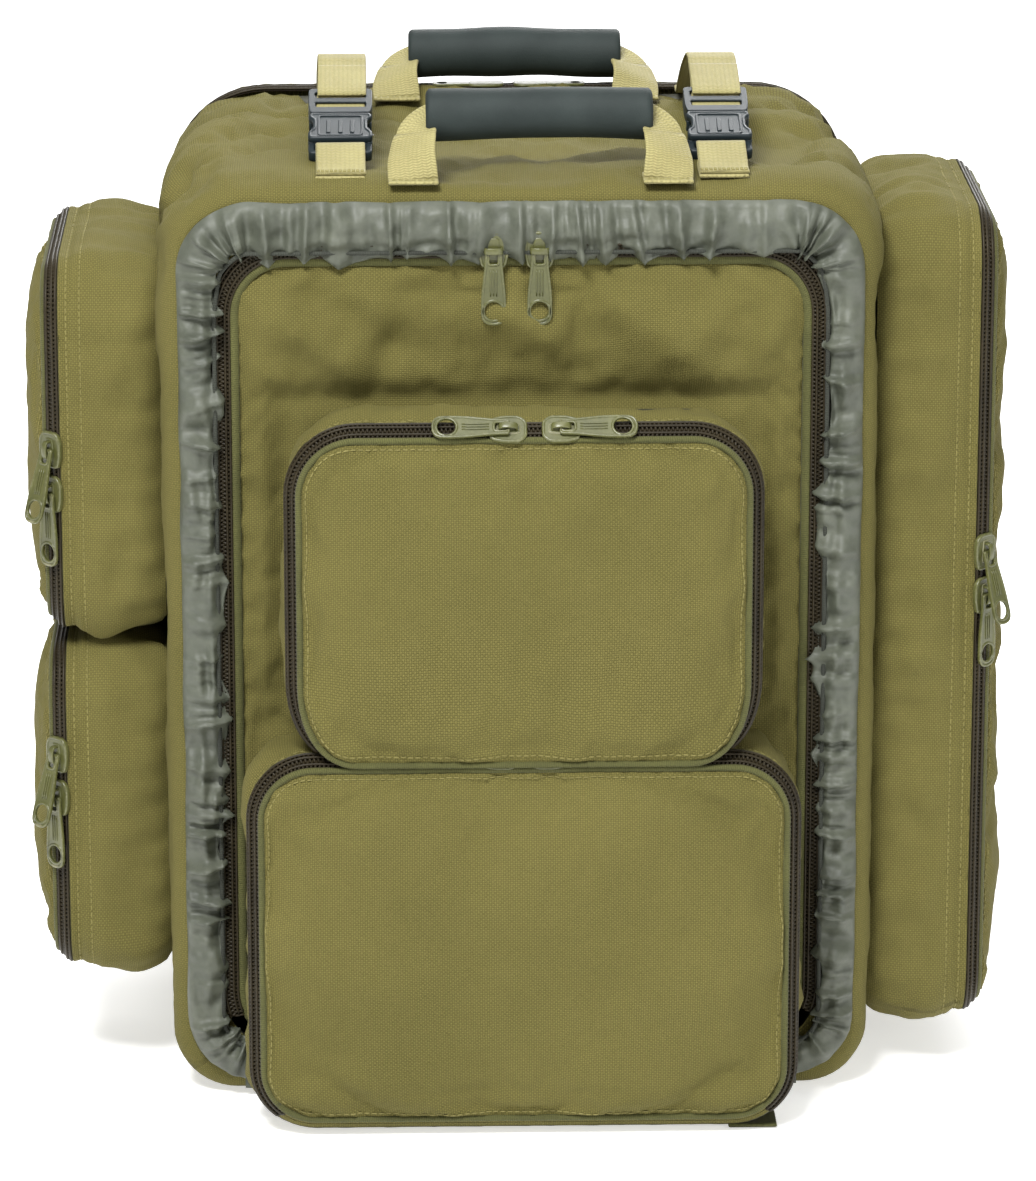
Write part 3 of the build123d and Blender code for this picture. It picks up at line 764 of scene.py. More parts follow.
class Pocket:
    """One zipped pocket in its own plane: wall, flap and both halves of its zip."""

    def __init__(self, key, place, a, b, r, depth, hinge, body, flap_body, taper=5.0):
        self.key, self.place, self.depth, self.hinge = key, place, depth, hinge
        self.a, self.b, self.body, self.flap_body, self.taper = a, b, body, flap_body, taper
        self.outline = Outline(a, b, r, 4.0, 12)
        self.seed = sum(map(ord, key))

    def open_side(self, p, margin):
        """True for points away from the hinged side."""
        if self.hinge == "bottom":
            return p[:, 1] > -self.b + margin
        return p[:, 0] < self.a - margin if self.hinge == "right" else p[:, 0] > -self.a + margin

    def zip_path(self, inset):
        """The open three sides of a loop, in order, with outward normals."""
        p, n = self.outline.loop(inset), self.outline.normals()
        keep = self.open_side(p, 9.0)
        k = int(np.argmin(keep))
        p, n, keep = np.roll(p, -k, 0), np.roll(n, -k, 0), np.roll(keep, -k)
        return p[keep], n[keep]

    def wall(self, name, *replaced, extra_lines=(), bulge=1.5):
        o, d = self.outline, self.depth
        slow, mid = waves(self.seed, 70), waves(self.seed + 1, 24)

        def field(s, p, w):
            q = with_w(p, w)
            t = w / d
            arch = math.sin(math.pi * min(max(t * 1.12, 0), 1)) ** 0.8
            body = (1.6 * slow(q) + 0.5 * bulge) * arch + 0.8 * mid(q) * arch + bulge * arch
            groove = sum(0.8 * math.exp(-(((d - w - line) / 1.5) ** 2)) for line in extra_lines)
            near_zip = pucker(s, np.full(len(s), d - w), self.seed + 2, 11, 0.8)
            near_seam = pucker(s, np.full(len(s), w + 0.01), self.seed + 3, 19, 2.8, 20)
            return body + near_zip + near_seam - groove - 3.0 * math.exp(-w / 4.0)

        ws = np.concatenate([np.linspace(0, d - 12, 14), np.linspace(d - 10.5, d, 10)])
        rows = [(self.taper * (1 - smooth(w, 0, d * 0.8)) , w) for w in ws]
        piece = Piece(name, self.body)
        tube_wall(piece, self.place, o, rows, "cloth", field)
        rim = [(0, d), (1.2, d + 0.6), (3.0, d + 1.2), (5.5, d), (6.2, d - 4), (6.0, d / 2),
            (6.0, 1)]
        tube_wall(piece, self.place, o, rim, "lining")
        # rows of stitches behind the zip
        loop = o.loop(0.3)
        up = self.place.vec(with_w(o.normals(), 0.0))
        s = arc_length(np.vstack([loop, loop[:1]]))[:-1]
        for back in extra_lines:
            off = with_w(loop, d - back)
            f = field(s, o.loop(0), d - back)
            line = self.place(off + with_w(o.normals() * (f[:, None] + 0.35), 0))
            line = np.vstack([line, line[:1]])
            nn = np.vstack([up, up[:1]])
            stitch_line(piece, line, nn, 0.1)
        # the hinged side: plain cloth over the bevel
        keep = ~self.open_side(o.loop(0), 9.0)
        k = int(np.argmin(keep))
        pts = []
        for inset, w in ((0.2, d), (1.6, d + 1.7), (3.4, d + 3.5)):
            q = np.roll(with_w(o.loop(inset), w), -k, 0)[np.roll(keep, -k)]
            pts.append(q)
        piece.add(self.place(np.concatenate(pts)), grid_faces(3, len(pts[0])), "cloth")
        ob = piece.build(*replaced)
        return ob

    def outer_zip(self, piece, phase=0.0):
        """The wall's half of the chain, added to a shared piece."""
        p, n = self.zip_path(SPLIT + 0.1)
        path = self.place(with_w(p, self.depth + SPLIT + 0.1))
        out = self.place.vec(with_w(n, 0.0))
        ew = self.place.ew
        toward = (-out + ew) / math.sqrt(2)
        normal = (out + ew) / math.sqrt(2)
        zip_half(piece, path, toward, normal, phase=phase)

    def flap(self, name, zip_name, *replaced, zip_node, crown=2.5, folds=()):
        o, d = self.outline, self.depth
        slow, mid = waves(self.seed + 5, 80), waves(self.seed + 6, 22)
        base, front = d + 4.2, d + 11.6

        def lift(p):
            q = o.inside(p, 7.2)
            rise = 1 - np.exp(-np.maximum(q, 0) / 7.5)
            z = d + 6.6 + (front - d - 6.6) * rise
            pt = with_w(p, 0)
            z += 0.8 * slow(pt) * smooth(q, 3, 30) + 0.3 * mid(pt) * smooth(q, 1, 10)
            z += pucker(p[:, 0] + p[:, 1], q, self.seed + 8, 13, 0.6, 13)
            for fd in folds:
                z += fold(p, *fd) * smooth(q, 2, 14)
            return np.minimum(z, d + 21.0)

        piece = Piece(name, self.flap_body)
        g, gf, move = inflated(f"{name}_sim", o, PAD_INSET, 1.5, 0.03, crown)
        fine, fine_faces = refine(np.column_stack([g, move]), gf)
        flat, move = fine[:, :2], fine[:, 2:]
        surface = np.column_stack([flat, lift(flat)]) + move
        surface[:, 2] = np.minimum(surface[:, 2], d + PAD_TOP)
        piece.add(self.place(surface), fine_faces, "cloth", flat)
        rim = refine_loop(o, PAD_INSET)
        n = len(rim)
        rows = []
        edge_n = loop_normals(rim)
        z0 = lift(rim)
        for step, w in ((0.0, None), (1.4, d + 6.6), (1.8, d + 5.2), (1.2, base)):
            q = rim + edge_n * step
            rows.append(np.column_stack([q, z0 if w is None else np.full(n, w)]))
        piece.add(self.place(np.concatenate(rows)), grid_faces(4, n, True, True), "cloth")
        piece.add(self.place(np.column_stack([g, np.full(len(g), base)])), [f[::-1] for f in gf],
            "lining", g)
        # piping round the panel, between it and the zip
        pipe = rim + edge_n * 0.8
        pw = np.full(n, d + 7.4)
        sweep(piece, self.place(np.column_stack([pipe, pw])), self.place.ew, circle(1.75, 9),
            "binding", closed=True)
        ring = refine_loop(o, STITCH_INSET)
        path = np.column_stack([ring, lift(ring) + 0.25]) + nearby(ring, flat, move)
        path = self.place(np.vstack([path, path[:1]]))
        stitch_line(piece, path, self.place.ew, 0.05)
        # plain cloth over the bevel on the hinged side
        keep = ~self.open_side(o.loop(0), 9.0)
        k = int(np.argmin(keep))
        pts = []
        for inset, w in ((3.8, d + 3.9), (5.4, d + 5.4), (7.6, d + 7.2)):
            pts.append(np.roll(with_w(o.loop(inset), w), -k, 0)[np.roll(keep, -k)])
        piece.add(self.place(np.concatenate(pts)), grid_faces(3, len(pts[0])), "cloth")
        ob = piece.build(*replaced)
        half = Piece(zip_name, self.flap_body)
        p, nrm = self.zip_path(SPLIT + 0.1)
        path = self.place(with_w(p, d + SPLIT + 0.1))
        outv = self.place.vec(with_w(nrm, 0.0))
        toward = (outv - self.place.ew) / math.sqrt(2)
        normal = (outv + self.place.ew) / math.sqrt(2)
        zip_half(half, path, toward, normal, phase=0.5)
        half.build(zip_node)
        return ob


def loop_normals(p):
    t = np.roll(p, -1, 0) - np.roll(p, 1, 0)
    t /= np.maximum(np.linalg.norm(t, axis=1)[:, None], 1e-9)
    return np.column_stack([t[:, 1], -t[:, 0]])


def refine_loop(outline, inset):
    """The outline's loop with one more point between each pair."""
    p = outline.loop(inset)
    out = np.empty((2 * len(p), 2))
    out[0::2] = p
    out[1::2] = (p + np.roll(p, -1, 0)) / 2
    return out


def refine(points, faces):
    """Splits each quad of a flat grid into four."""
    pts = [tuple(q) for q in points]
    index, out = {}, []

    def middle(*ids):
        key = tuple(sorted(ids))
        if key not in index:
            index[key] = len(pts)
            pts.append(tuple(np.mean([points[i] for i in ids], axis=0)))
        return index[key]

    for a, b, c, d in faces:
        ab, bc, cd, da, m = middle(a, b), middle(b, c), middle(c, d), middle(d, a), middle(a, b, c,
            d)
        out += [(a, ab, m, da), (ab, b, bc, m), (m, bc, c, cd), (da, m, cd, d)]
    return np.array(pts), out


def front_place(y, z):
    return Place((0, y, z), (1, 0, 0), (0, 0, 1))


def side_place(side, y, z):
    return Place((side * HALF_W, y, z), (0, side, 0), (0, 0, 1))


def span(node, axis):
    lo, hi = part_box(node)
    return lo[axis] * 1000, hi[axis] * 1000


# ---------------------------------------------------------------- pockets
def make_pocket(key, node, kind, body, flap_body, radius, depth, **kw):
    z0, z1 = span(node, 2)
    mid = (z0 + z1) / 2
    if kind == "front":
        x0, x1 = span(node, 0)
        return Pocket(key, front_place(DOOR_Y, mid), (x1 - x0) / 2, (z1 - z0) / 2, radius, depth,
            "bottom", body, flap_body, **kw)
    y0, y1 = (q - Y_OFFSET for q in span(node, 1))
    side = 1 if kind == "right" else -1
    place = side_place(side, (y0 + y1) / 2, mid)
    hinge = "right" if side > 0 else "left"
    return Pocket(key, place, (y1 - y0) / 2, (z1 - z0) / 2, radius, depth, hinge, body, flap_body,
        **kw)


FRONT_DEPTH, SIDE_DEPTH = 50.0, 52.0
upper = make_pocket("upper", "upper_front_pocket", "front", "front_door", "upper_flap", 36.0,
    FRONT_DEPTH, taper=6.0)
upper.place = SaggingPlace(upper.place, upper.b, upper.b - 64, 7.0, 13.5, FRONT_DEPTH)
lower = make_pocket("lower", "lower_front_pocket", "front", "front_door", "lower_flap", 34.0,
    FRONT_DEPTH, taper=4.0)
left_upper = make_pocket("left_upper", "left_upper_pocket", "left", "bag", "left_upper_flap", 30.0,
    SIDE_DEPTH, taper=3.0)
left_lower = make_pocket("left_lower", "left_lower_pocket", "left", "bag", "left_lower_flap", 30.0,
    SIDE_DEPTH, taper=3.0)
right = make_pocket("right", "right_pocket", "right", "bag", "right_flap", 30.0, SIDE_DEPTH,
    taper=3.0)

upper.wall("upper_front_pocket_cloth", "upper_front_pocket", extra_lines=(4.5,))
lower.wall("lower_front_pocket_cloth", "lower_front_pocket", extra_lines=(4.5,))
for pk, nm in ((left_upper, "left_upper"), (left_lower, "left_lower"), (right, "right")):
    pk.wall(f"{nm}_pocket_cloth", f"{nm}_pocket", extra_lines=(4.0, 11.0), bulge=3.4)

upper.flap("upper_flap_pad", "upper_flap_zip", "upper_pocket_flap", zip_node="upper_flap_zip_tape",
    crown=7.0)
lower.flap("lower_flap_pad", "lower_flap_zip", "lower_pocket_flap", zip_node="lower_flap_zip_tape",
    crown=7.5,
           folds=(((-132, -92), (-66, -66), 9, 1.8), ((130, -92), (62, -70), 9, 1.8),
           ((-20, -96), (30, -70), 12, 1.0)))
for pk, nm in ((left_upper, "left_upper"), (left_lower, "left_lower"), (right, "right")):
    pk.flap(f"{nm}_flap_pad", f"{nm}_flap_zip", f"{nm}_flap", zip_node=f"{nm}_flap_zip_tape",
        crown=8.0)


# ---------------------------------------------------------------- main body
BODY_COUNTS = Outline(HALF_W, HEIGHT / 2, 34.0, 5.0, 12)


def counted(a, b, r):
    """An outline with as many points as the body's."""
    o = Outline(a, b, r, 5.0, 12)
    o.nx, o.ny = BODY_COUNTS.nx, BODY_COUNTS.ny
    return o


def body_outline(y):
    """The body's outline at one depth: its corners are rounder towards the back."""
    return counted(HALF_W, HEIGHT / 2, 34.0 + 16.0 * float(smooth(y, 190, 320)))


def ring(outline, inset, y, zc=HEIGHT / 2, push=0.0):
    p = outline.loop(inset) + outline.normals() * np.asarray(push, float).reshape(-1, 1)
    return np.column_stack([p[:, 0], np.full(len(p), y), p[:, 1] + zc])


def shell_push(s, p, y, seed, seams):
    """How far the soft wall stands off its outline, in and out of its seams."""
    slow, mid, small = waves(seed, 120), waves(seed + 1, 42), waves(seed + 2, 16)
    q = np.column_stack([p[:, 0], np.full(len(p), y), p[:, 1]])
    top = smooth(p[:, 1], 120, 238)
    corner = smooth(np.abs(p[:, 0]), 90, 170) * top
    amp = 0.8 + 1.2 * top + 2.6 * corner
    out = amp * (0.9 * slow(q) + 0.65 * mid(q) + 0.26 * small(q))
    middle = math.exp(-(((y - 190) / 45) ** 2))
    out = out - 6.0 * middle * smooth(p[:, 1], 232, 240) * (1 - smooth(np.abs(p[:, 0]), 120, 165))
    out = np.clip(out, -8.0, 3.0) * (1 - smooth(-p[:, 1], 225, 238)) * float(smooth(y, 66, 96))
    for place, depth, reach in seams:
        d = abs(y - place)
        out = out - depth * math.exp(-d / reach) * (0.55 + 0.45 * top)
        out = out + pucker(s, np.full(len(s), d + 0.8), seed + int(place), 17, 1.5,
            18) * (0.25 + top) * (1 - smooth(-p[:, 1], 225, 238))
    return out


def shell_skin(piece, stations, seed, seams):
    """The outer cloth through the given (inset, depth) stations."""
    base = BODY_COUNTS.loop(0)
    s = arc_length(np.vstack([base, base[:1]]))[:-1]
    rows, uv, run = [], [], 0.0
    for i, (inset, y) in enumerate(stations):
        if i:
            run += math.hypot(inset - stations[i - 1][0], y - stations[i - 1][1])
        rows.append(ring(body_outline(y), inset, y, push=shell_push(s, base, y, seed, seams)))
        uv.append(np.column_stack([s, np.full(len(s), run)]))
    piece.add(np.concatenate(rows), grid_faces(len(rows), len(s), True, True), "cloth",
        np.concatenate(uv))
    return rows


shell = Piece("main_body_cloth", "bag")
DOOR_MID = (DOOR_TOP + DOOR_BOTTOM) / 2
stations = [(24.0, 68.6), (18.0, 68.2), (13.0, 68.3), (8.5, 69.4), (5.0, 71.6), (2.4, 75.0),
    (0.9, 79.5), (0.2, 84.0)]
stations += [(0.0, y) for y in np.linspace(88, DIVIDER, 38)]
skin = shell_skin(shell, stations, 41, ((DIVIDER, 4.6, 10),))
count = len(skin[0])
opening = counted(DOOR_HALF + 9, (DOOR_TOP - DOOR_BOTTOM) / 2 + 8, 36)
inner_loop = ring(opening, 0, SHELL_FRONT + 1.2, DOOR_MID)
middle = [skin[0] * (1 - t) + inner_loop * t for t in (0.0, 0.5, 1.0)]
shell.add(np.concatenate(middle), grid_faces(3, count, True, False), "cloth")
inner = counted(HALF_W - 8.5, HEIGHT / 2 - 8.5, 24)
lining_rows = [inner_loop, inner_loop + np.array([0, 4.0, 0])]
lining_rows += [ring(inner, 0 if y < DIVIDER - 8.5 else 6, y) for y in (74, 110, 160, 210,
    DIVIDER - 9, DIVIDER - 8)]
shell.add(np.concatenate(lining_rows), grid_faces(len(lining_rows), count, True, False), "lining")
cap, cap_faces = inner.cap(6)
shell.add(np.column_stack([cap[:, 0], np.full(len(cap), DIVIDER - 8.0), cap[:, 1] + HEIGHT / 2]),
    cap_faces, "lining", cap)
shell.build("main_shell")

rear = Piece("rear_body_cloth", "bag")
stations = [(0.0, y) for y in np.linspace(DIVIDER, REAR_END - 2, 18)] + [(1.2, REAR_END),
    (4.0, REAR_END + 0.6)]
shell_skin(rear, stations, 41, ((DIVIDER, 4.6, 10), (REAR_END, 1.2, 8)))
o = body_outline(REAR_END)
rows = [ring(o, inset, y) for inset,
    y in ((4.0, REAR_END + 0.6), (8.5, REAR_END), (8.5, 290), (8.5, DIVIDER + 1))]
rear.add(np.concatenate(rows), grid_faces(4, count, True, False), "lining")
cap, cap_faces = o.cap(8.5)
rear.add(np.column_stack([cap[:, 0], np.full(len(cap), DIVIDER + 1.0), cap[:, 1] + HEIGHT / 2]),
    [f[::-1] for f in cap_faces], "lining", cap)
hem_x = np.linspace(-128, 128, 52)
rows = [np.column_stack([hem_x, np.full(52, y), np.full(52, z)]) for y,
    z in ((316, 0.8), (325, 0.8), (334, 1.0))]
rear.add(np.concatenate(rows), grid_faces(3, 52, False, True), "cloth")
rear.build("rear_shell")


def outline_zip(piece, outline, zc, y, inset, side, phase, flat=False):
    """A half chain round the top and sides of an upright outline."""
    p, n = outline.loop(inset), outline.normals()
    keep = p[:, 1] > -outline.b + 20
    k = int(np.argmin(keep))
    p, n, keep = np.roll(p, -k, 0), np.roll(n, -k, 0), np.roll(keep, -k)
    p, n = p[keep], n[keep]
    path = np.column_stack([p[:, 0], np.full(len(p), y), p[:, 1] + zc])
    out = np.column_stack([n[:, 0], np.zeros(len(n)), n[:, 1]])
    along_y = np.tile((0.0, 1.0, 0.0), (len(p), 1))
    if flat:
        zip_half(piece, path, out * side, -along_y, phase=phase)
    else:
        zip_half(piece, path, along_y * side, out, phase=phase)


door_zip = Outline(DOOR_HALF + 5.2, (DOOR_TOP - DOOR_BOTTOM) / 2 + 5.2, 33.2, 4.0, 12)
back_zip = body_outline(REAR_END)
bag_zips = Piece("body_zip_halves", "bag")
outline_zip(bag_zips, door_zip, DOOR_MID, SHELL_FRONT - 1.8, 0, -1, 0.0, True)
outline_zip(bag_zips, back_zip, HEIGHT / 2, REAR_END + 5.2, 0.6, 1, 0.0)
for pk in (left_upper, left_lower, right):
    pk.outer_zip(bag_zips)
bag_zips.build("bag_zip_tapes")
back_half = Piece("back_zip_half", "back_door")
outline_zip(back_half, back_zip, HEIGHT / 2, REAR_END + 5.2, 0.6, -1, 0.5)
back_half.build("back_zip_tape")

door_zips = Piece("door_zip_halves", "front_door")
outline_zip(door_zips, door_zip, DOOR_MID, SHELL_FRONT - 1.8, 0, 1, 0.5, True)
upper.outer_zip(door_zips)
lower.outer_zip(door_zips)
door_zips.build("front_door_zip_tapes")

# ---------------------------------------------------------------- front door panel
door = Piece("front_door_pad", "front_door")
door_out = Outline(DOOR_HALF, (DOOR_TOP - DOOR_BOTTOM) / 2, 28.0, 6.0, 12)
slow, mid, small = waves(91, 110), waves(92, 36), waves(93, 14)
DOOR_FOLDS = [
    ((-134, 186), (-64, 118), 13, 5.4), ((-142, 160), (-92, 96), 11, 4.4),
    ((134, 184), (66, 120), 13, 5.2),
    ((142, 140), (96, 84), 11, 4.4), ((-66, 190), (-104, 132), 10, 3.0),
    ((30, 192), (96, 142), 12, 3.6),
    ((-140, 70), (-120, -20), 9, 3.0), ((141, 50), (121, -40), 9, 3.0),
    ((-20, 192), (16, 136), 13, 2.4),
    ((-142, 110), (-116, 40), 8, 2.6), ((108, 192), (52, 146), 10, 2.8),
    ((-50, 176), (44, 156), 11, 2.2),
    ((142, 96), (118, 30), 8, 2.4), ((-100, 192), (-40, 160), 9, 2.2),
    ((70, 168), (130, 100), 9, 2.0),
]


def sewn(p):
    """How far each point is from the pockets that are sewn on."""
    first = np.maximum(np.abs(p[:, 0]) - upper.a,
        np.abs(p[:, 1] + DOOR_MID - upper.place.o[2]) - upper.b)
    second = np.maximum(np.abs(p[:, 0]) - lower.a,
        np.abs(p[:, 1] + DOOR_MID - lower.place.o[2]) - lower.b)
    return np.minimum(first, second)


def door_lift(p):
    q = door_out.inside(p, 1.5)
    z = 6.0 * (1 - np.exp(-np.maximum(q, 0) / 8)) - 4.0
    pt = with_w(p, 0)
    hold = sewn(p)
    free = smooth(hold, -1, 26)
    z += (2.6 * slow(pt) + 0.6 * mid(pt) + 0.25 * small(pt)) * smooth(q, 4, 36) * (0.1 + 0.9 * free)
    for fd in DOOR_FOLDS:
        z += fold(p, *fd) * smooth(q, 3, 16) * (0.1 + 0.9 * free)
    z += pucker(p[:, 0] + p[:, 1], q, 95, 14, 1.0, 14)
    z -= 4.2 * (1 - smooth(np.abs(hold), 0, 12)) * smooth(q, 4, 12)
    return np.clip(z, -8.0, 11.0)


door_place = front_place(DOOR_Y + 1.5, DOOR_MID)
g, gf, move = inflated("door_sim", door_out, 1.5, 1.2, 0.035, 6.0, lambda p: sewn(p) < 1.0)
fine, gf = refine(np.column_stack([g, move]), gf)
g, move = fine[:, :2], fine[:, 2:]
surface = np.column_stack([g, door_lift(g)]) + move
surface[:, 2] = np.minimum(surface[:, 2], 13.0)
door.add(door_place(surface), gf, "cloth", g)
rim = refine_loop(door_out, 1.5)
nrm = loop_normals(rim)
rows = [np.column_stack([rim, door_lift(rim)])]
rows += [np.column_stack([rim + nrm * 1.2, np.full(len(rim), -3.0)]),
    np.column_stack([rim, np.full(len(rim), -8.0)])]
door.add(door_place(np.concatenate(rows)), grid_faces(3, len(rim), True, True), "cloth")
door.add(door_place(np.column_stack([g, np.full(len(g), -8.4)])), [f[::-1] for f in gf], "lining",
    g)
bind = np.column_stack([rim + nrm * 0.6, np.full(len(rim), -1.2)])
BINDING = [(-3.0, -0.6), (-2.6, 1.2), (-1.0, 2.0), (1.4, 1.8), (2.8, 0.6), (3.0, -1.6),
    (2.4, -3.0), (-2.8, -2.0)]
sweep(door, door_place(bind), door_place.ew, BINDING, "binding", closed=True)
hem_x = np.linspace(-132, 132, 54)
rows = [np.column_stack([hem_x, np.full(54, DOOR_Y + 1.6), np.full(54, z)]) for z in (3.2, 20, 40)]
door.add(np.concatenate(rows), grid_faces(3, 54, False, False), "cloth")
door.build("front_door_panel")

# ---------------------------------------------------------------- gathered skirt
SKIRT_MID = HEIGHT / 2 + 0.5


def skirt_path(step):
    """The skirt's sewn edge, from the bottom left corner over the top to the bottom right."""
    o = Outline(172.0, 232.0, 36.0, 3.0, 16)
    p = o.loop(0)
    keep = ~((p[:, 1] < -o.b + 12) & (np.abs(p[:, 0]) < 143))
    k = int(np.argmin(keep))
    return resample(np.roll(p, -k, 0)[np.roll(keep, -k)], step)


sp = skirt_path(1.15)
ss = arc_length(sp)
sn = np.column_stack([tangents(sp)[:, 1], -tangents(sp)[:, 0]])
g1 = np.random.default_rng(23)
marks = [0.0]
while marks[-1] < ss[-1]:
    marks.append(marks[-1] + g1.uniform(8.0, 25.0))
marks = np.array(marks)
turns = np.interp(ss, marks, np.arange(len(marks)) * 2 * math.pi)
strength = np.interp(ss, marks, g1.uniform(0.3, 1.25, len(marks)))
lean = np.interp(ss, marks, g1.uniform(-1, 1, len(marks)))
hang = np.interp(ss, marks, g1.uniform(-1, 1, len(marks)))
wave2, wave3 = waves(77, 30), waves(78, 11)
top_run = smooth(sp[:, 1], 170, 225)
COLS = 30
rows, uvs = [], []
for i, t in enumerate(np.linspace(0, 1, COLS)):
    swirl = turns + 2.6 * lean * t
    ridge = 1 - 2 * np.abs(np.sin(swirl / 2)) ** 0.75
    cross = np.sin(swirl * 1.6 + 1.0 + 3.0 * lean) + 0.6 * np.sin(swirl * 2.7 + 4 * hang)
    open_up = math.sin(math.pi * min(1.0, t * 0.9 + 0.08)) ** 0.7
    q3 = np.column_stack([sp, np.full(len(sp), t * 40)])
    reach = (21.0 + 7.0 * top_run) * (1 - (1 - min(t / 0.9, 1)) ** 1.5) - 2.5 * max(0.0,
        (t - 0.9) / 0.1)
    edge = float(smooth(t, 0.5, 0.95))
    inn = reach + (2.6 * ridge * strength + 3.0 * hang) * edge + 0.9 * wave2(q3) * (0.3 + edge)
    height = 7.0 * math.sin(math.pi * min(t / 0.96, 1) ** 0.7) + (0.8 if t < 0.02 else 2.4)
    hh = height + (3.5 * ridge + 1.3 * cross) * strength * open_up + 0.9 * wave2(q3 * 1.7) + 0.35 * wave3(q3)
    hh = np.clip(hh, 0.5, 16.5)
    pos2 = sp - sn * inn[:, None]
    rows.append(np.column_stack([pos2[:, 0], SHELL_FRONT - hh, pos2[:, 1] + SKIRT_MID]))
    uvs.append(np.column_stack([ss, np.full(len(ss), t * 46)]))
skirt = Piece("gathered_skirt", "bag")
skirt.add(np.concatenate(rows), grid_faces(COLS, len(sp), False, False), "skirt",
    np.concatenate(uvs))
xs = np.linspace(-143, 143, 110)
low = []
for j, z in enumerate((4, 9, 15, 21, 26)):
    low.append(np.column_stack([xs, SHELL_FRONT - 0.3 - 0.5 * np.abs(np.sin(xs / 4.1 + j)),
        z + 0.6 * np.sin(xs / 9 + j)]))
skirt.add(np.concatenate(low), grid_faces(5, 110, False, False), "skirt")
skirt_ob = skirt.build("rain_skirt")
elastic = Piece("skirt_elastic_cord", "bag")
ep = sp - sn * (18.5 + 6.5 * top_run)[:, None]
sweep(elastic, np.column_stack([ep[:, 0], np.full(len(ep), SHELL_FRONT - 5.5),
    ep[:, 1] + SKIRT_MID])[::4], (0, -1, 0), circle(1.1, 8), "elastic")
elastic.build("skirt_elastic")

# ---------------------------------------------------------------- plates and frames
class Frame(Place):
    """A placed frame from an origin, the way its x points and its normal."""

    def __init__(self, origin, along, normal, turn=0.0, tilt=0.0):
        x, n = (np.array(q, float) / np.linalg.norm(q) for q in (along, normal))
        y = np.cross(n, x)
        c, s = math.cos(math.radians(turn)), math.sin(math.radians(turn))
        x, y = x * c + y * s, y * c - x * s
        c, s = math.cos(math.radians(tilt)), math.sin(math.radians(tilt))
        x = x * c + n * s
        super().__init__(origin, x, y)

    def lifted(self, w):
        return Frame(self.o + self.ew * w, self.ex, self.ew)


def rounded(points, radii, n=5):
    """A polygon with its corners rounded."""
    pts = [np.array(p, float) for p in points]
    if isinstance(radii, (int, float)):
        radii = [radii] * len(pts)
    out = []
    for i, (p, r) in enumerate(zip(pts, radii)):
        a, b = pts[i - 1] - p, pts[(i + 1) % len(pts)] - p
        la, lb = np.linalg.norm(a), np.linalg.norm(b)
        cut = min(r, la * 0.48, lb * 0.48)
        if cut < 0.05:
            out.append(p)
            continue
        q0, q1 = p + a / la * cut, p + b / lb * cut
        for t in np.linspace(0, 1, n):
            out.append((1 - t) ** 2 * q0 + 2 * t * (1 - t) * p + t * t * q1)
    return np.array(out)


def both_sides(*points):
    """An outline from one half of it: the points mirrored in y, then themselves in reverse."""
    return [(x, -y) for x, y in points] + [(x, y) for x, y in points[::-1]]


def round_hole(x, y, r, n=20, squash=1.0):
    a = np.linspace(0, 2 * math.pi, n, endpoint=False)
    return np.stack([x + r * np.cos(a) * squash, y + r * np.sin(a)], 1)


def inset_loop(loop, d):
    return loop - loop_normals(loop) * d


def plate(piece, place, outline, holes, low, high, mat, edge=0.4, rim=0.0, rim_width=1.0):
    """A flat plate with softened edges, holes through it and, if asked, a raised rim."""
    loops = [np.asarray(outline, float)] + [np.asarray(h, float) for h in holes]
    if np.sum(loops[0][:, 0] * np.roll(loops[0][:, 1], -1) - np.roll(loops[0][:, 0],
        -1) * loops[0][:, 1]) < 0:
        loops[0] = loops[0][::-1]
    for i in range(1, len(loops)):
        q = loops[i]
        if np.sum(q[:, 0] * np.roll(q[:, 1], -1) - np.roll(q[:, 0], -1) * q[:, 1]) > 0:
            loops[i] = q[::-1]
    top = [(edge, low), (edge * 0.3, low + edge * 0.3), (0, low + edge), (0, high + rim - edge)]
    top += [(edge * 0.3, high + rim - edge * 0.3), (edge, high + rim)]
    if rim:
        top += [(rim_width, high + rim), (rim_width + 0.25, high)]
    else:
        top += [(edge + 0.12, high)]
    for q in loops:
        rows = [np.column_stack([inset_loop(q, d), np.full(len(q), w)]) for d, w in top]
        piece.add(place(np.concatenate(rows)), grid_faces(len(rows), len(q), True, False), mat)
    for d, w, flip in ((top[-1][0], high, False), (edge, low, True)):
        rings = [inset_loop(q, d) for q in loops]
        tris = tessellate_polygon([[Vector((*p, 0)) for p in r] for r in rings])
        flat = np.concatenate(rings)
        faces = []
        for a, b, c in tris:
            area = np.cross(flat[b] - flat[a], flat[c] - flat[a])
            faces.append((a, b, c) if (area > 0) != flip else (a, c, b))
        piece.add(place(np.column_stack([flat, np.full(len(flat), w)])), faces, mat)


def bar(piece, place, path, width, thick, mat, soft=0.35):
    """A flat bar bent along a path given as (x, w) in the frame, centred on y = 0."""
    path = np.asarray(path, float)
    p = place(np.column_stack([path[:, 0], np.zeros(len(path)), path[:, 1]]))
    w, h = width / 2, thick / 2
    section = rounded([(-w, -h), (w, -h), (w, h), (-w, h)], soft, 3)
    t = tangents(p)
    up = np.cross(np.tile(place.ey, (len(p), 1)), t)
    sweep(piece, p, up, section, mat)


# ---------------------------------------------------------------- sliders and pulls
RUN = SPLIT + 0.15
DIAG = math.sqrt(0.5)
PIVOT = 4.3


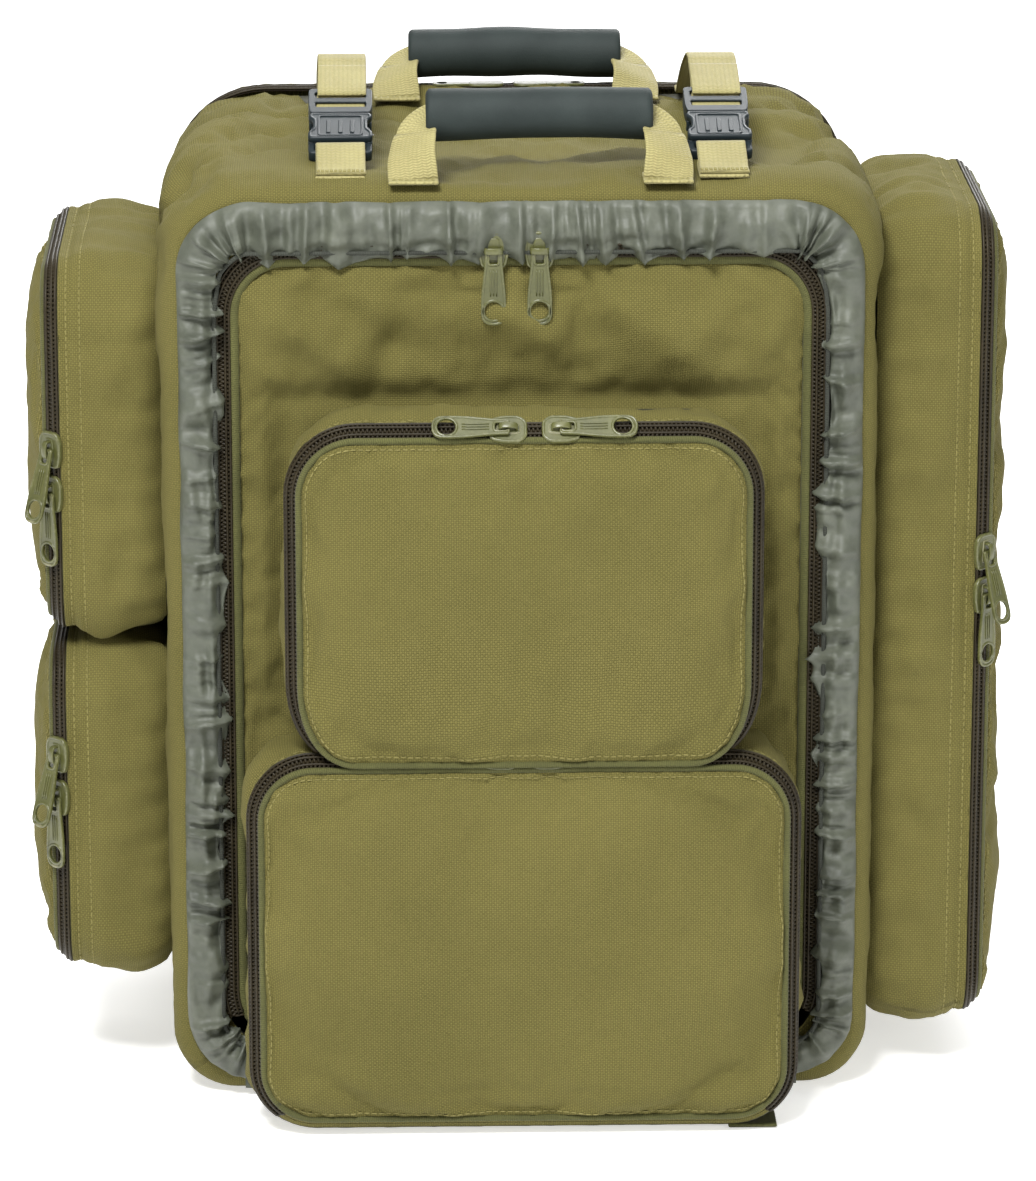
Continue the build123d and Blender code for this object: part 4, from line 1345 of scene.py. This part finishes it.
def slider_shape(piece, frame, turned):
    """The slider: a waisted plate with curled edges, and the arch that holds the pull."""
    outline = rounded(both_sides((-9.4, 4.6), (-5.6, 7.6), (3.0, 7.6), (9.4, 5.8)), 2.4, 5)
    plate(piece, frame, outline, [], 0.4, 2.7, "enamel", 0.7, 0.35, 1.3)
    crown = rounded([(-6.2, -2.8), (5.6, -3.6), (5.6, 3.6), (-6.2, 2.8)], 1.6, 5)
    plate(piece, frame, crown, [], 2.3, 3.25, "enamel", 0.6)
    arch = frame if not turned else Frame(frame.o, frame.ey, frame.ew)
    th = np.linspace(0, math.pi, 15)
    path = [(-4.3, 2.4), (-4.3, 3.8)] + [(-4.3 * math.cos(a),
        4.0 + 2.4 * math.sin(a) ** 0.6) for a in th[1:-1]] + [(4.3, 3.8), (4.3, 2.4)]
    bar(piece, arch, path, 3.2, 1.1, "enamel")


def pull_shape(piece, frame):
    """The pull: a tapered plate with a rim, a slot for the arch and a round hole."""
    outline = rounded(both_sides((-0.8, 4.2), (6.6, 4.4), (22.5, 6.2), (37.9, 6.2)),
                      [1.8, 5, 5, 6.0, 6.0, 5, 5, 1.8], 7)
    slot = rounded([(0.9, -2.0), (6.5, -2.0), (6.5, 2.0), (0.9, 2.0)], 0.9, 4)
    hole = round_hole(30.5, 0, 4.5, 28)
    plate(piece, frame, outline, [slot, hole], -0.75, 0.62, "enamel", 0.35, 0.38, 1.15)
    for y in (-1.5, 0.0, 1.5):
        sweep(piece, frame([(9.5, y, 0.62), (12, y, 0.85), (20.5, y, 0.85), (23, y, 0.62)]),
            frame.ew, circle(0.35, 6), "enamel")


run_y = DOOR_Y - FRONT_DEPTH - RUN
sliders = [
    ("main_left", (-14, 65, 449.2), (0, 0, -1), (0, -1, 0), True, 0),
    ("main_right", (9, 65, 449.2), (0, 0, -1), (0, -1, 0), True, 0),
    ("upper_left", (-8, run_y, 373 - RUN), (-1, 0, 0), (0, -DIAG, DIAG), False, 0),
    ("upper_right", (18, run_y, 373 - RUN), (1, 0, 0), (0, -DIAG, DIAG), False, 0),
]
for name, side, high in (("left_upper", -1, 340.0), ("left_lower", -1, 178.0), ("right", 1, 283.0)):
    for which, drop, tilt in (("high", 0, 17), ("low", 23.0, 0)):
        origin = (side * (HALF_W + SIDE_DEPTH + RUN), 92 + RUN, high - drop)
        sliders.append((f"{name}_{which}", origin, (0, 0, -1), (side * DIAG, -DIAG, 0), False,
            tilt))
for name, origin, along, normal, turned, tilt in sliders:
    frame_s = Frame(origin, along, normal)
    one = Piece(f"{name}_zip_slider", f"{name}_slider")
    slider_shape(one, frame_s, turned)
    one.build(f"{name}_slider")
    one = Piece(f"{name}_zip_pull", f"{name}_pull")
    pull_shape(one, Frame(frame_s.lifted(PIVOT).o, along, normal, tilt=tilt))
    one.build(f"{name}_pull")
hidden = [(f"lower_{k}", (s * 12, run_y, 203 - RUN), s, (0, -DIAG, DIAG)) for k,
    s in (("left", -1), ("right", 1))]
hidden += [(f"back_{k}", (s * 12, REAR_END + 5.2, HEIGHT), s, (0, 0, 1)) for k,
    s in (("left", -1), ("right", 1))]
for name, origin, side, normal in hidden:
    f = Frame(origin, (side, 0, 0), normal)
    one = Piece(f"{name}_zip_slider", f"{name}_slider")
    outline = rounded(both_sides((-9.4, 4.2), (-5.6, 6.1), (3.0, 6.1), (9.4, 5.0)), 2.2, 5)
    plate(one, f, outline, [], 0.3, 2.0, "enamel", 0.6)
    tag = rounded(both_sides((6.5, 3.4), (18, 4.2), (29, 4.2)), 3.0, 6)
    plate(one, f, tag, [round_hole(24.0, 0, 2.6, 18)], 0.5, 1.9, "enamel", 0.3)
    one.build(f"{name}_slider")

# ---------------------------------------------------------------- webbing and buckles
TILT = math.radians(15)
BUCKLE_Y, BUCKLE_Z, STRAPS = 112.0, HEIGHT + 7.0, (-90.0, 102.0)


def on_strap(s, lift):
    return np.array([BUCKLE_Y + s * math.cos(TILT) - lift * math.sin(TILT),
        BUCKLE_Z + s * math.sin(TILT) + lift * math.cos(TILT)])


def strap_run(*places):
    """Path points from (distance, lift) along the tilted strap."""
    return [tuple(on_strap(*p)) for p in places]


def strap_frame(x):
    """The frame of a buckle on the strap at one x."""
    along = (0, math.cos(TILT), math.sin(TILT))
    return Frame(np.array([x, BUCKLE_Y, BUCKLE_Z]), along, (0, -math.sin(TILT), math.cos(TILT)))


def spline(points, step=2.0):
    """A smooth path through points."""
    p = np.asarray(points, float)
    q = np.vstack([2 * p[0] - p[1], p, 2 * p[-1] - p[-2]])
    out = []
    for i in range(1, len(q) - 2):
        n = max(2, int(np.linalg.norm(q[i + 1] - q[i]) / step))
        for t in np.linspace(0, 1, n, endpoint=False):
            out.append(0.5 * (2 * q[i] + (q[i + 1] - q[i - 1]) * t + (2 * q[i - 1] - 5 * q[i] + 4 * q[i + 1] - q[i + 2]) * t * t
                              + (3 * q[i] - q[i - 1] - 3 * q[i + 1] + q[i + 2]) * t ** 3))
    return np.array(out + [p[-1]])


WEB = strip_section(25.0, 1.7)


def band(piece, x, yz, up=None, mat="webbing", section=WEB, wander=0.0):
    """Webbing along (y, z) points at one x."""
    p = spline(yz)
    path = np.column_stack([x + wander * np.sin(arc_length(p) / 31.0), p])
    t = tangents(path)
    up = np.cross((1.0, 0, 0), t)
    sweep(piece, path, up, section, mat)
    return path, up


def bar_tack(piece, x, y, z, width=22.0, rows=3, pitch=1.6):
    """A sewn bar across webbing that lies flat."""
    for r in range(rows):
        path = [(x - width / 2, y + r * pitch, z), (x + width / 2, y + r * pitch, z)]
        stitch_line(piece, path, (0, 0, 1), 0.1, 2.1, 1.7, "pale_thread")


def box_stitch(piece, corners, normal):
    """A sewn rectangle with a cross in it."""
    a, b, c, d = (np.array(q, float) for q in corners)
    for p, q in ((a, b), (b, c), (c, d), (d, a), (a, c), (b, d)):
        stitch_line(piece, [p, q], normal, 0.1, 3.0, 2.2, "pale_thread")


top_z = HEIGHT + 0.85
web = Piece("top_straps_webbing", "bag")
for x in STRAPS:
    low = -4.5 - 0.85
    front = [(82, top_z), (92, top_z), (103, top_z + 0.2)]
    band(web, x, front + strap_run((-1.5, low + 0.5), (4, low), (9, low + 0.2)))
    folded = [*strap_run((5.5, 3.1), (-2.0, 2.4)), (101, top_z + 4.6), (93, top_z + 2.2),
        (84, top_z + 1.8)]
    band(web, x, folded, wander=0.4)
    bar_tack(web, x, 85, top_z + 2.9)
    peak = on_strap(106, 2.1)
    rear_path = [*strap_run((43, 2.1), (60, 2.1), (80, 2.6), (98, 2.3)), tuple(peak),
                 (peak[0] + 16, peak[1] - 1.5), (peak[0] + 40, peak[1] - 11), (284, top_z + 9),
                 (296, top_z + 2), (304, top_z), (317, top_z)]
    band(web, x, rear_path, wander=0.8)
    band(web, x + 0.8, strap_run((58, 4.6), (64, 5.2), (74, 5.0), (84, 4.6), (92, 4.3)))
    bar_tack(web, x, 306, top_z + 0.9)
    bar_tack(web, x, 313, top_z + 0.9, rows=2)
LEG = 63.5
HANDLES = (("front", 10.0, 76.0, 110.0, 508.0), ("rear", 3.0, 290.0, 326.0, 498.5))
for _, hx, hy, _, _ in HANDLES:
    for side in (-1, 1):
        x = hx + side * LEG
        band(web, x, [(hy - 7, top_z), (hy, top_z + 0.3), (hy + 7, top_z + 0.3), (hy + 14, top_z)])
        box_stitch(web, [(x - 9.5, hy - 4, top_z + 1.0), (x + 9.5, hy - 4, top_z + 1.0),
            (x + 9.5, hy + 11, top_z + 1.0), (x - 9.5, hy + 11, top_z + 1.0)], (0, 0, 1))
web.build("top_webbing")

sockets = Piece("strap_buckle_sockets", "bag")
for x in STRAPS:
    f = strap_frame(x)
    outline = rounded(both_sides((10, 16.3), (17, 16.3), (20.5, 13.8), (30.5, 13.8), (33.5, 16.3),
        (38, 15.4)), [2.5, 1.6, 2.5, 2.5, 1.6, 1.5, 1.5, 1.6, 2.5, 2.5, 1.6, 2.5], 4)
    plate(sockets, f, outline, [], -4.4, -3.6, "plastic", 0.3)
    plate(sockets, f, outline, [], 1.0, 4.4, "plastic", 0.9, 0.3, 1.6)
    for s in (-1, 1):
        post = rounded([(10, s * 13.2), (17.5, s * 13.2), (17.5, s * 16.2), (10, s * 16.2)], 0.8, 3)
        plate(sockets, f, post, [], -4.2, 1.4, "plastic", 0.3)
        post = rounded([(32.0, s * 13.4), (37.6, s * 13.4), (37.6, s * 15.6), (32.0, s * 16.0)],
            0.8, 3)
        plate(sockets, f, post, [], -4.2, 1.4, "plastic", 0.3)
    inner = rounded([(10, -13), (13.6, -13), (13.6, 13), (10, 13)], 0.5, 3)
    plate(sockets, f, inner, [], -4.2, 1.4, "plastic", 0.2)
    frame_out = rounded([(0.2, -16), (11, -16), (11, 16), (0.2, 16)], [2.6, 0.5, 0.5, 2.6], 5)
    window = rounded([(3.6, -13.0), (9.6, -13.0), (9.6, 13.0), (3.6, 13.0)], 0.9, 3)
    plate(sockets, f, frame_out, [window], -4.4, 0.9, "plastic", 0.7)
    for y in (-6.0, 0.0, 6.0):
        rib = rounded([(15, y - 1.1), (29, y - 1.1), (29, y + 1.1), (15, y + 1.1)], 0.8, 4)
        plate(sockets, f, rib, [], 4.3, 4.95, "plastic", 0.3)
    recess = rounded([(12, -11.5), (35, -11.5), (35, 11.5), (12, 11.5)], 2.0, 4)
    hollow = rounded([(13.2, -10.3), (33.8, -10.3), (33.8, 10.3), (13.2, 10.3)], 1.6, 4)
    plate(sockets, f, recess, [hollow], 4.3, 4.9, "plastic", 0.25)
sockets.build("top_strap_sockets")
for key, x in zip(("left", "right"), STRAPS):
    one = Piece(f"{key}_buckle_clip", f"{key}_strap_clip")
    f = strap_frame(x)
    outer = rounded(both_sides((38.8, 15.2), (46, 16.3), (66, 16.3)), [1.2, 3, 3, 3, 3, 1.2], 4)
    plate(one, f, outer, [], -4.4, 0.4, "plastic", 0.7)
    windows = [rounded([(a, -12.9), (b, -12.9), (b, 12.9), (a, 12.9)], 0.8, 3) for a,
        b in ((45.0, 50.5), (55.5, 61.5))]
    plate(one, f, outer, windows, 3.4, 4.5, "plastic", 0.4)
    for s in (-1, 1):
        rail = rounded([(39, s * 13.2), (65.6, s * 13.2), (65.6, s * 16.1), (46, s * 16.1),
            (39, s * 15.1)], 0.8, 3)
        plate(one, f, rail, [], 0.2, 3.8, "plastic", 0.25)
        prong = rounded([(39.4, s * 7.2), (24, s * 7.8), (17.5, s * 9.2), (17.0, s * 11.6),
            (21.5, s * 14.9), (29.5, s * 14.9), (31, s * 11.8), (39.4, s * 11.0)], 1.4, 4)
        plate(one, f, prong, [], -2.9, 0.6, "plastic", 0.5)
    tongue = rounded([(39.4, -2.2), (22, -1.8), (22, 1.8), (39.4, 2.2)], 0.8, 4)
    plate(one, f, tongue, [], -2.6, 0.2, "plastic", 0.4)
    one.build(f"{key}_strap_clip")

GRIP_HALF = 57.0
for key, hx, hy, gy, gz in HANDLES:
    pz = HEIGHT + 3.4
    v = np.array([0, gy - hy, gz - pz])
    reach = np.linalg.norm(v)
    v /= reach
    n = np.cross((1.0, 0, 0), v)
    base = np.array([hx, hy, pz])
    legs = Piece(f"{key}_handle_legs", f"{key}_handle")
    for side in (-1, 1):
        pts = [(side * LEG, -2.0, -1.6), (side * (LEG + 0.6), 5.0, 0.6),
            (side * (LEG + 0.8), reach * 0.3, 2.0), (side * (LEG - 0.6), reach * 0.62, 1.2)]
        for a in np.linspace(0, 80, 6):
            c, s = math.cos(math.radians(a)), math.sin(math.radians(a))
            pts.append((side * (LEG - 16 + 14.5 * c), reach - 13.5 + 13.5 * s, 0.4))
        pts.append((side * 40, reach, 0))
        flat = spline(np.array(pts), 1.6)
        path = base + flat[:, :1] * np.array([1.0, 0, 0]) + flat[:, 1:2] * v + flat[:, 2:3] * n
        u = np.linspace(0, 1, len(path))
        twist = side * 0.42 * np.sin(math.pi * np.clip(u * 1.25, 0, 1))
        t = tangents(path)
        across = np.cross(t, n)
        up = n * np.cos(twist)[:, None] + across * np.sin(twist)[:, None]
        sweep(legs, path, up, WEB, "webbing", scale=1 - 0.26 * smooth(u, 0.35, 0.75))
    core = [base + v * reach + np.array([x, 0, 0]) for x in (-50, 0, 50)]
    sweep(legs, core, n, circle(4.0, 10), "webbing")
    legs.build(f"{key}_handle_webbing")
    grip = Piece(f"{key}_foam_grip", f"{key}_handle")
    xs = np.concatenate([[-GRIP_HALF, -GRIP_HALF, -GRIP_HALF + 0.5],
        np.linspace(-GRIP_HALF + 1.8, GRIP_HALF - 1.8, 60),
        [GRIP_HALF - 0.5, GRIP_HALF, GRIP_HALF]])
    radii = np.concatenate([[4.2, 10.6, 12.0], np.full(60, 12.9), [12.0, 10.6, 4.2]])
    wob = waves(300 + len(key), 60)
    bend = 1.5 * np.cos(xs / GRIP_HALF * math.pi / 2)
    k = 40
    ang = np.linspace(0, 2 * math.pi, k, endpoint=False)
    rows, uv = [], []
    for x, r, bd in zip(xs, radii, bend):
        ring_p = np.column_stack([np.full(k, x), np.cos(ang), np.sin(ang)])
        rr = r + 0.28 * wob(ring_p * (1, 20, 20)) * (r > 12)
        seam_cut = 0.8 * np.exp(-(((ang - 4.2) / 0.07) ** 2)) * (r > 11)
        rr = rr - seam_cut
        rows.append(base + v * (reach + bd) + np.column_stack([np.full(k, x), np.zeros(k),
            np.zeros(k)]) + v * (np.cos(ang) * rr)[:, None] + n * (np.sin(ang) * rr)[:, None])
        uv.append(np.column_stack([np.full(k, x), ang * 13]))
    grip.add(np.concatenate(rows), grid_faces(len(xs), k, True, True), "foam", np.concatenate(uv))
    grip.build(f"{key}_handle_grip")

# small sewn tab under the lower pocket
tab = Piece("hem_tab_webbing", "front_door")
band(tab, 117.0, [(14, 1.3), (20, 1.5), (28, 1.4), (34, 1.3)], mat="binding")
tab.build("pocket_hem_tab")

# ---------------------------------------------------------------- back panel and harness
back = Piece("back_pad", "back_door")
bo = counted(HALF_W, HEIGHT / 2, 50.0)
slow, mid = waves(131, 90), waves(132, 30)
rows, uv = [], []
base = bo.loop(0)
s = arc_length(np.vstack([base, base[:1]]))[:-1]
for inset, y in ((6.0, 326.2), (1.6, 326.6), (0.4, 328.5), (0.0, 332), (0.6, 337), (2.4, 341.2),
    (5.4, 344.2), (9.0, 345.4)):
    push = 0.5 * pucker(s, np.full(len(s), 3.0), 137, 15, 1.2, 20) * (base[:, 1] > -230)
    rows.append(ring(bo, inset, y, push=push))
    uv.append(np.column_stack([s, np.full(len(s), y)]))
back.add(np.concatenate(rows), grid_faces(len(rows), count, True, True), "cloth_back",
    np.concatenate(uv))
g, gf = refine(*bo.cap(9.0))


def back_lift(p):
    """Padded columns for the back, a lower quilted band, and plain cloth round them."""
    q = bo.inside(p, 9.0)
    pt = with_w(p, 0)
    x, z = p[:, 0], p[:, 1]
    lift = (0.7 * slow(pt) + 0.25 * mid(pt)) * smooth(q, 2, 20) - 0.6
    for cx, cz, a, b in ((0.0, 60.0, 26.0, 128.0), (0.0, -176.0, 138.0, 36.0),
        (-118.0, 40.0, 24.0, 140.0), (118.0, 40.0, 24.0, 140.0)):
        pad = Outline(a, b, 16.0)
        ins = pad.inside(np.column_stack([x - cx, z - cz]))
        lift += 5.2 * (1 - np.exp(-np.maximum(ins, 0) / 5.0)) - 1.4 * np.exp(-((ins / 2.2) ** 2))
        for k in range(-3, 4):
            band_z = cz + k * 2 * b / 7
            lift -= 1.3 * np.exp(-(((z - band_z) / 2.4) ** 2)) * smooth(ins, 2, 7) * (b > 100)
        for k in (-2, -1, 0, 1, 2):
            lift -= 1.3 * np.exp(-(((x - cx - k * 2 * a / 5.5) / 2.4) ** 2)) * smooth(ins, 2,
                7) * (a > 100)
    return lift


lift = back_lift(g * np.array([-1, 1]))
back.add(np.column_stack([g[:, 0], 345.6 + lift, g[:, 1] + HEIGHT / 2]), [f[::-1] for f in gf],
    "mesh", g)
back.add(np.column_stack([g[:, 0], np.full(len(g), 327.0), g[:, 1] + HEIGHT / 2]), gf, "lining", g)
rimp = refine_loop(bo, 8.0)
sweep(back, np.column_stack([rimp[:, 0], np.full(len(rimp), 345.4), rimp[:, 1] + HEIGHT / 2]),
    (0, 1, 0), circle(1.9, 8), "binding", closed=True)
back.build("back_panel")

FLARE = math.radians(5)
TOP, BOTTOM = 458.0, 190.0


def harness(side, p):
    """Design points from (across, y, z) in one strap's flared frame."""
    p = np.asarray(p, float).reshape(-1, 3)
    a = -side * FLARE
    dz = p[:, 2] - TOP
    return np.column_stack([side * 66 + p[:, 0] * math.cos(a) + dz * math.sin(a), p[:, 1],
        TOP - p[:, 0] * math.sin(a) + dz * math.cos(a)])


straps = Piece("padded_shoulder_straps", "back_door")
for side in (-1, 1):
    part = np.linspace(0, 1, 60)
    z = TOP - 24 + (BOTTOM - TOP + 24) * part
    out = 30 * np.sin(np.pi * np.minimum(part * 1.12, 1.0)) ** 0.8 + 6 * part
    centre = np.column_stack([BACK_FACE + 6.2 + out, z + 10 * part])
    centre = np.vstack([(BACK_FACE + 6.2, TOP - 1), (BACK_FACE + 6.2, TOP - 12), centre,
        (centre[-1, 0], BOTTOM + 4), (centre[-1, 0], BOTTOM + 0.5)])
    centre = resample(centre, 4.0)
    cs = arc_length(centre)
    t = tangents(centre)
    nn = np.column_stack([-t[:, 1], t[:, 0]])
    nn *= np.sign(nn[:, :1] + 1e-9)
    across = np.linspace(-1, 1, 41)
    ends = 1 - 0.28 * (1 - smooth(cs, 0, 26)) - 0.34 * smooth(cs, cs[-1] - 60, cs[-1])
    wv = waves(151 + side, 50)
    for sign, mat in ((1, "cloth_back"), (-1, "mesh")):
        rows, uv = [], []
        for i in range(len(centre)):
            w = 30.5 * ends[i]
            edge = np.sqrt(np.maximum(1 - across ** 6, 0))
            end_thin = min(1.0, 0.45 + (cs[i] / 26), 0.45 + (cs[-1] - cs[i]) / 26)
            h = 5.9 * edge * end_thin
            x = across * w
            pts = np.column_stack([x, np.full(41, centre[i, 0]), np.full(41, centre[i, 1])])
            h = h + 0.35 * wv(pts) * edge - 1.2 * np.exp(-(((np.abs(across) - 0.86) / 0.05) ** 2)) * edge
            pts[:, 1] += sign * nn[i, 0] * h
            pts[:, 2] += sign * nn[i, 1] * h
            rows.append(harness(side, pts))
            uv.append(np.column_stack([x, np.full(41, cs[i])]))
        straps.add(np.concatenate(rows), grid_faces(len(centre), 41, False, sign > 0), mat,
            np.concatenate(uv))
    for e in (-1, 1):
        edge_path = harness(side, np.column_stack([e * 30.5 * ends, centre[:, 0], centre[:, 1]]))
        up = np.column_stack([np.zeros(len(nn)), nn])
        sweep(straps, edge_path, up, circle(2.1, 8, 1.2), "binding")
    mid_web = harness(side,
        np.column_stack([np.zeros(len(centre)), centre[:, 0] + nn[:, 0] * 6.6,
        centre[:, 1] + nn[:, 1] * 6.6]))
    sweep(straps, mid_web[2:-1], np.column_stack([np.zeros(len(nn)), nn])[2:-1], WEB, "webbing")
straps.build("shoulder_straps")

LOCK = 22.0
lower_web = Piece("harness_lower_webbing", "back_door")
locks = Piece("ladder_lock_buckles", "back_door")
for side in (-1, 1):
    end_y = BACK_FACE + 12 + 6.2 - 6
    low_y = BACK_FACE + 0.85
    route = spline([(end_y, BOTTOM - 1), (end_y, BOTTOM - LOCK - 8), (low_y + 4, 78), (low_y, 64),
        (low_y, 38)])
    path = harness(side, np.column_stack([np.zeros(len(route)), route]))
    t = tangents(path)
    sweep(lower_web, path, np.cross(t, (1.0, 0, 0)) * -1, WEB, "webbing")
    tail = spline([(end_y + 2.2, BOTTOM - 6), (end_y + 3.6, BOTTOM - LOCK - 6), (end_y + 2.6, 128),
        (end_y + 3.4, 104)])
    path = harness(side, np.column_stack([np.full(len(tail), side * 1.5), tail]))
    sweep(lower_web, path, np.cross(tangents(path), (1.0, 0, 0)) * -1, WEB, "webbing")
    corners = harness(side,
        [(-9.5, low_y + 0.9, 41), (9.5, low_y + 0.9, 41), (9.5, low_y + 0.9, 60),
        (-9.5, low_y + 0.9, 60)])
    box_stitch(lower_web, corners, (0, 1, 0))
    o = harness(side, [(0, end_y, BOTTOM)])[0]
    down = harness(side, [(0, end_y, BOTTOM - 1)])[0] - o
    f = Frame(o, down, (0, 1, 0))
    frame_out = rounded(both_sides((0.2, 15.2), (6, 16.4), (24, 14.6)), [3, 3, 4, 4, 3, 3], 5)
    holes = [rounded([(a, -12.6), (b, -12.6), (b, 12.6), (a, 12.6)], 1.0, 4) for a,
        b in ((3.6, 8.6), (11.4, 15.2), (18.0, 20.8))]
    plate(locks, f, frame_out, holes, -2.4, 2.4, "plastic", 0.7)
    lip = rounded([(20.5, -14.2), (23.9, -13.6), (23.9, 13.6), (20.5, 14.2)], 1.2, 4)
    plate(locks, f, lip, [], 2.0, 3.6, "plastic", 0.6)
lower_web.build("harness_webbing")
locks.build("ladder_locks")

# ---------------------------------------------------------------- studio
LENS = 176.5
PAPER_HALF = 14
PAPER_GLOW = 0.55
WORLD_LIGHT = 0.34
scene = bpy.context.scene
TARGET = Vector((0.0, -0.065, 0.2535))
DISTANCE, ELEVATION, AZIMUTH = 3.0, math.radians(16), math.radians(-1.5)
back_way = Vector((math.sin(AZIMUTH) * math.cos(ELEVATION),
    -math.cos(AZIMUTH) * math.cos(ELEVATION), math.sin(ELEVATION)))
cam_data = bpy.data.cameras.new("camera")
camera = bpy.data.objects.new("camera", cam_data)
scene.collection.objects.link(camera)
scene.camera = camera
camera.location = TARGET + back_way * DISTANCE
camera.rotation_euler = (-back_way).to_track_quat("-Z", "Y").to_euler()
cam_data.sensor_fit = "AUTO"
cam_data.sensor_width = 36
cam_data.lens = LENS
cam_data.clip_end = 20


def paper(name, corners, color, glow):
    """A plain sheet of studio paper that glows a little, as a lit one does."""
    me = bpy.data.meshes.new(name)
    me.from_pydata(corners, [], [(0, 1, 2, 3)])
    m, _, b = new_material(name)
    b.inputs["Base Color"].default_value = (*color, 1)
    b.inputs["Roughness"].default_value = 0.9
    if glow:
        b.inputs["Emission Color"].default_value = (1, 1, 1, 1)
        b.inputs["Emission Strength"].default_value = glow
    me.materials.append(m)
    ob = bpy.data.objects.new(name, me)
    scene.collection.objects.link(ob)


paper_corners = [(x * PAPER_HALF, y * PAPER_HALF, -0.0005) for x,
    y in ((-1, -1), (1, -1), (1, 1), (-1, 1))]
paper("floor", paper_corners, (0.93, 0.93, 0.92), PAPER_GLOW)

world = bpy.data.worlds.new("studio")
scene.world = world
world.use_nodes = True
world.node_tree.nodes["Background"].inputs[0].default_value = (1, 1, 1, 1)
world.node_tree.nodes["Background"].inputs[1].default_value = WORLD_LIGHT


def lamp(name, place, aim, size, power):
    d = bpy.data.lights.new(name, "AREA")
    d.shape = "RECTANGLE"
    d.size, d.size_y = size
    d.energy = power
    o = bpy.data.objects.new(name, d)
    o.location = place
    o.rotation_euler = (Vector(aim) - Vector(place)).to_track_quat("-Z", "Y").to_euler()
    scene.collection.objects.link(o)


lamp("key", (-0.6, -1.7, 2.5), (0, -0.1, 0.3), (0.9, 0.7), 118)
lamp("fill", (1.5, -2.2, 0.9), (0, -0.1, 0.25), (1.2, 1.2), 16)
lamp("top", (0.1, 0.1, 2.2), (0, 0, 0.3), (1.4, 1.0), 14)
lamp("back_light", (0.5, 2.3, 1.7), (0, 0, 0.3), (1.6, 1.2), 58)
scene.view_settings.view_transform = "Standard"
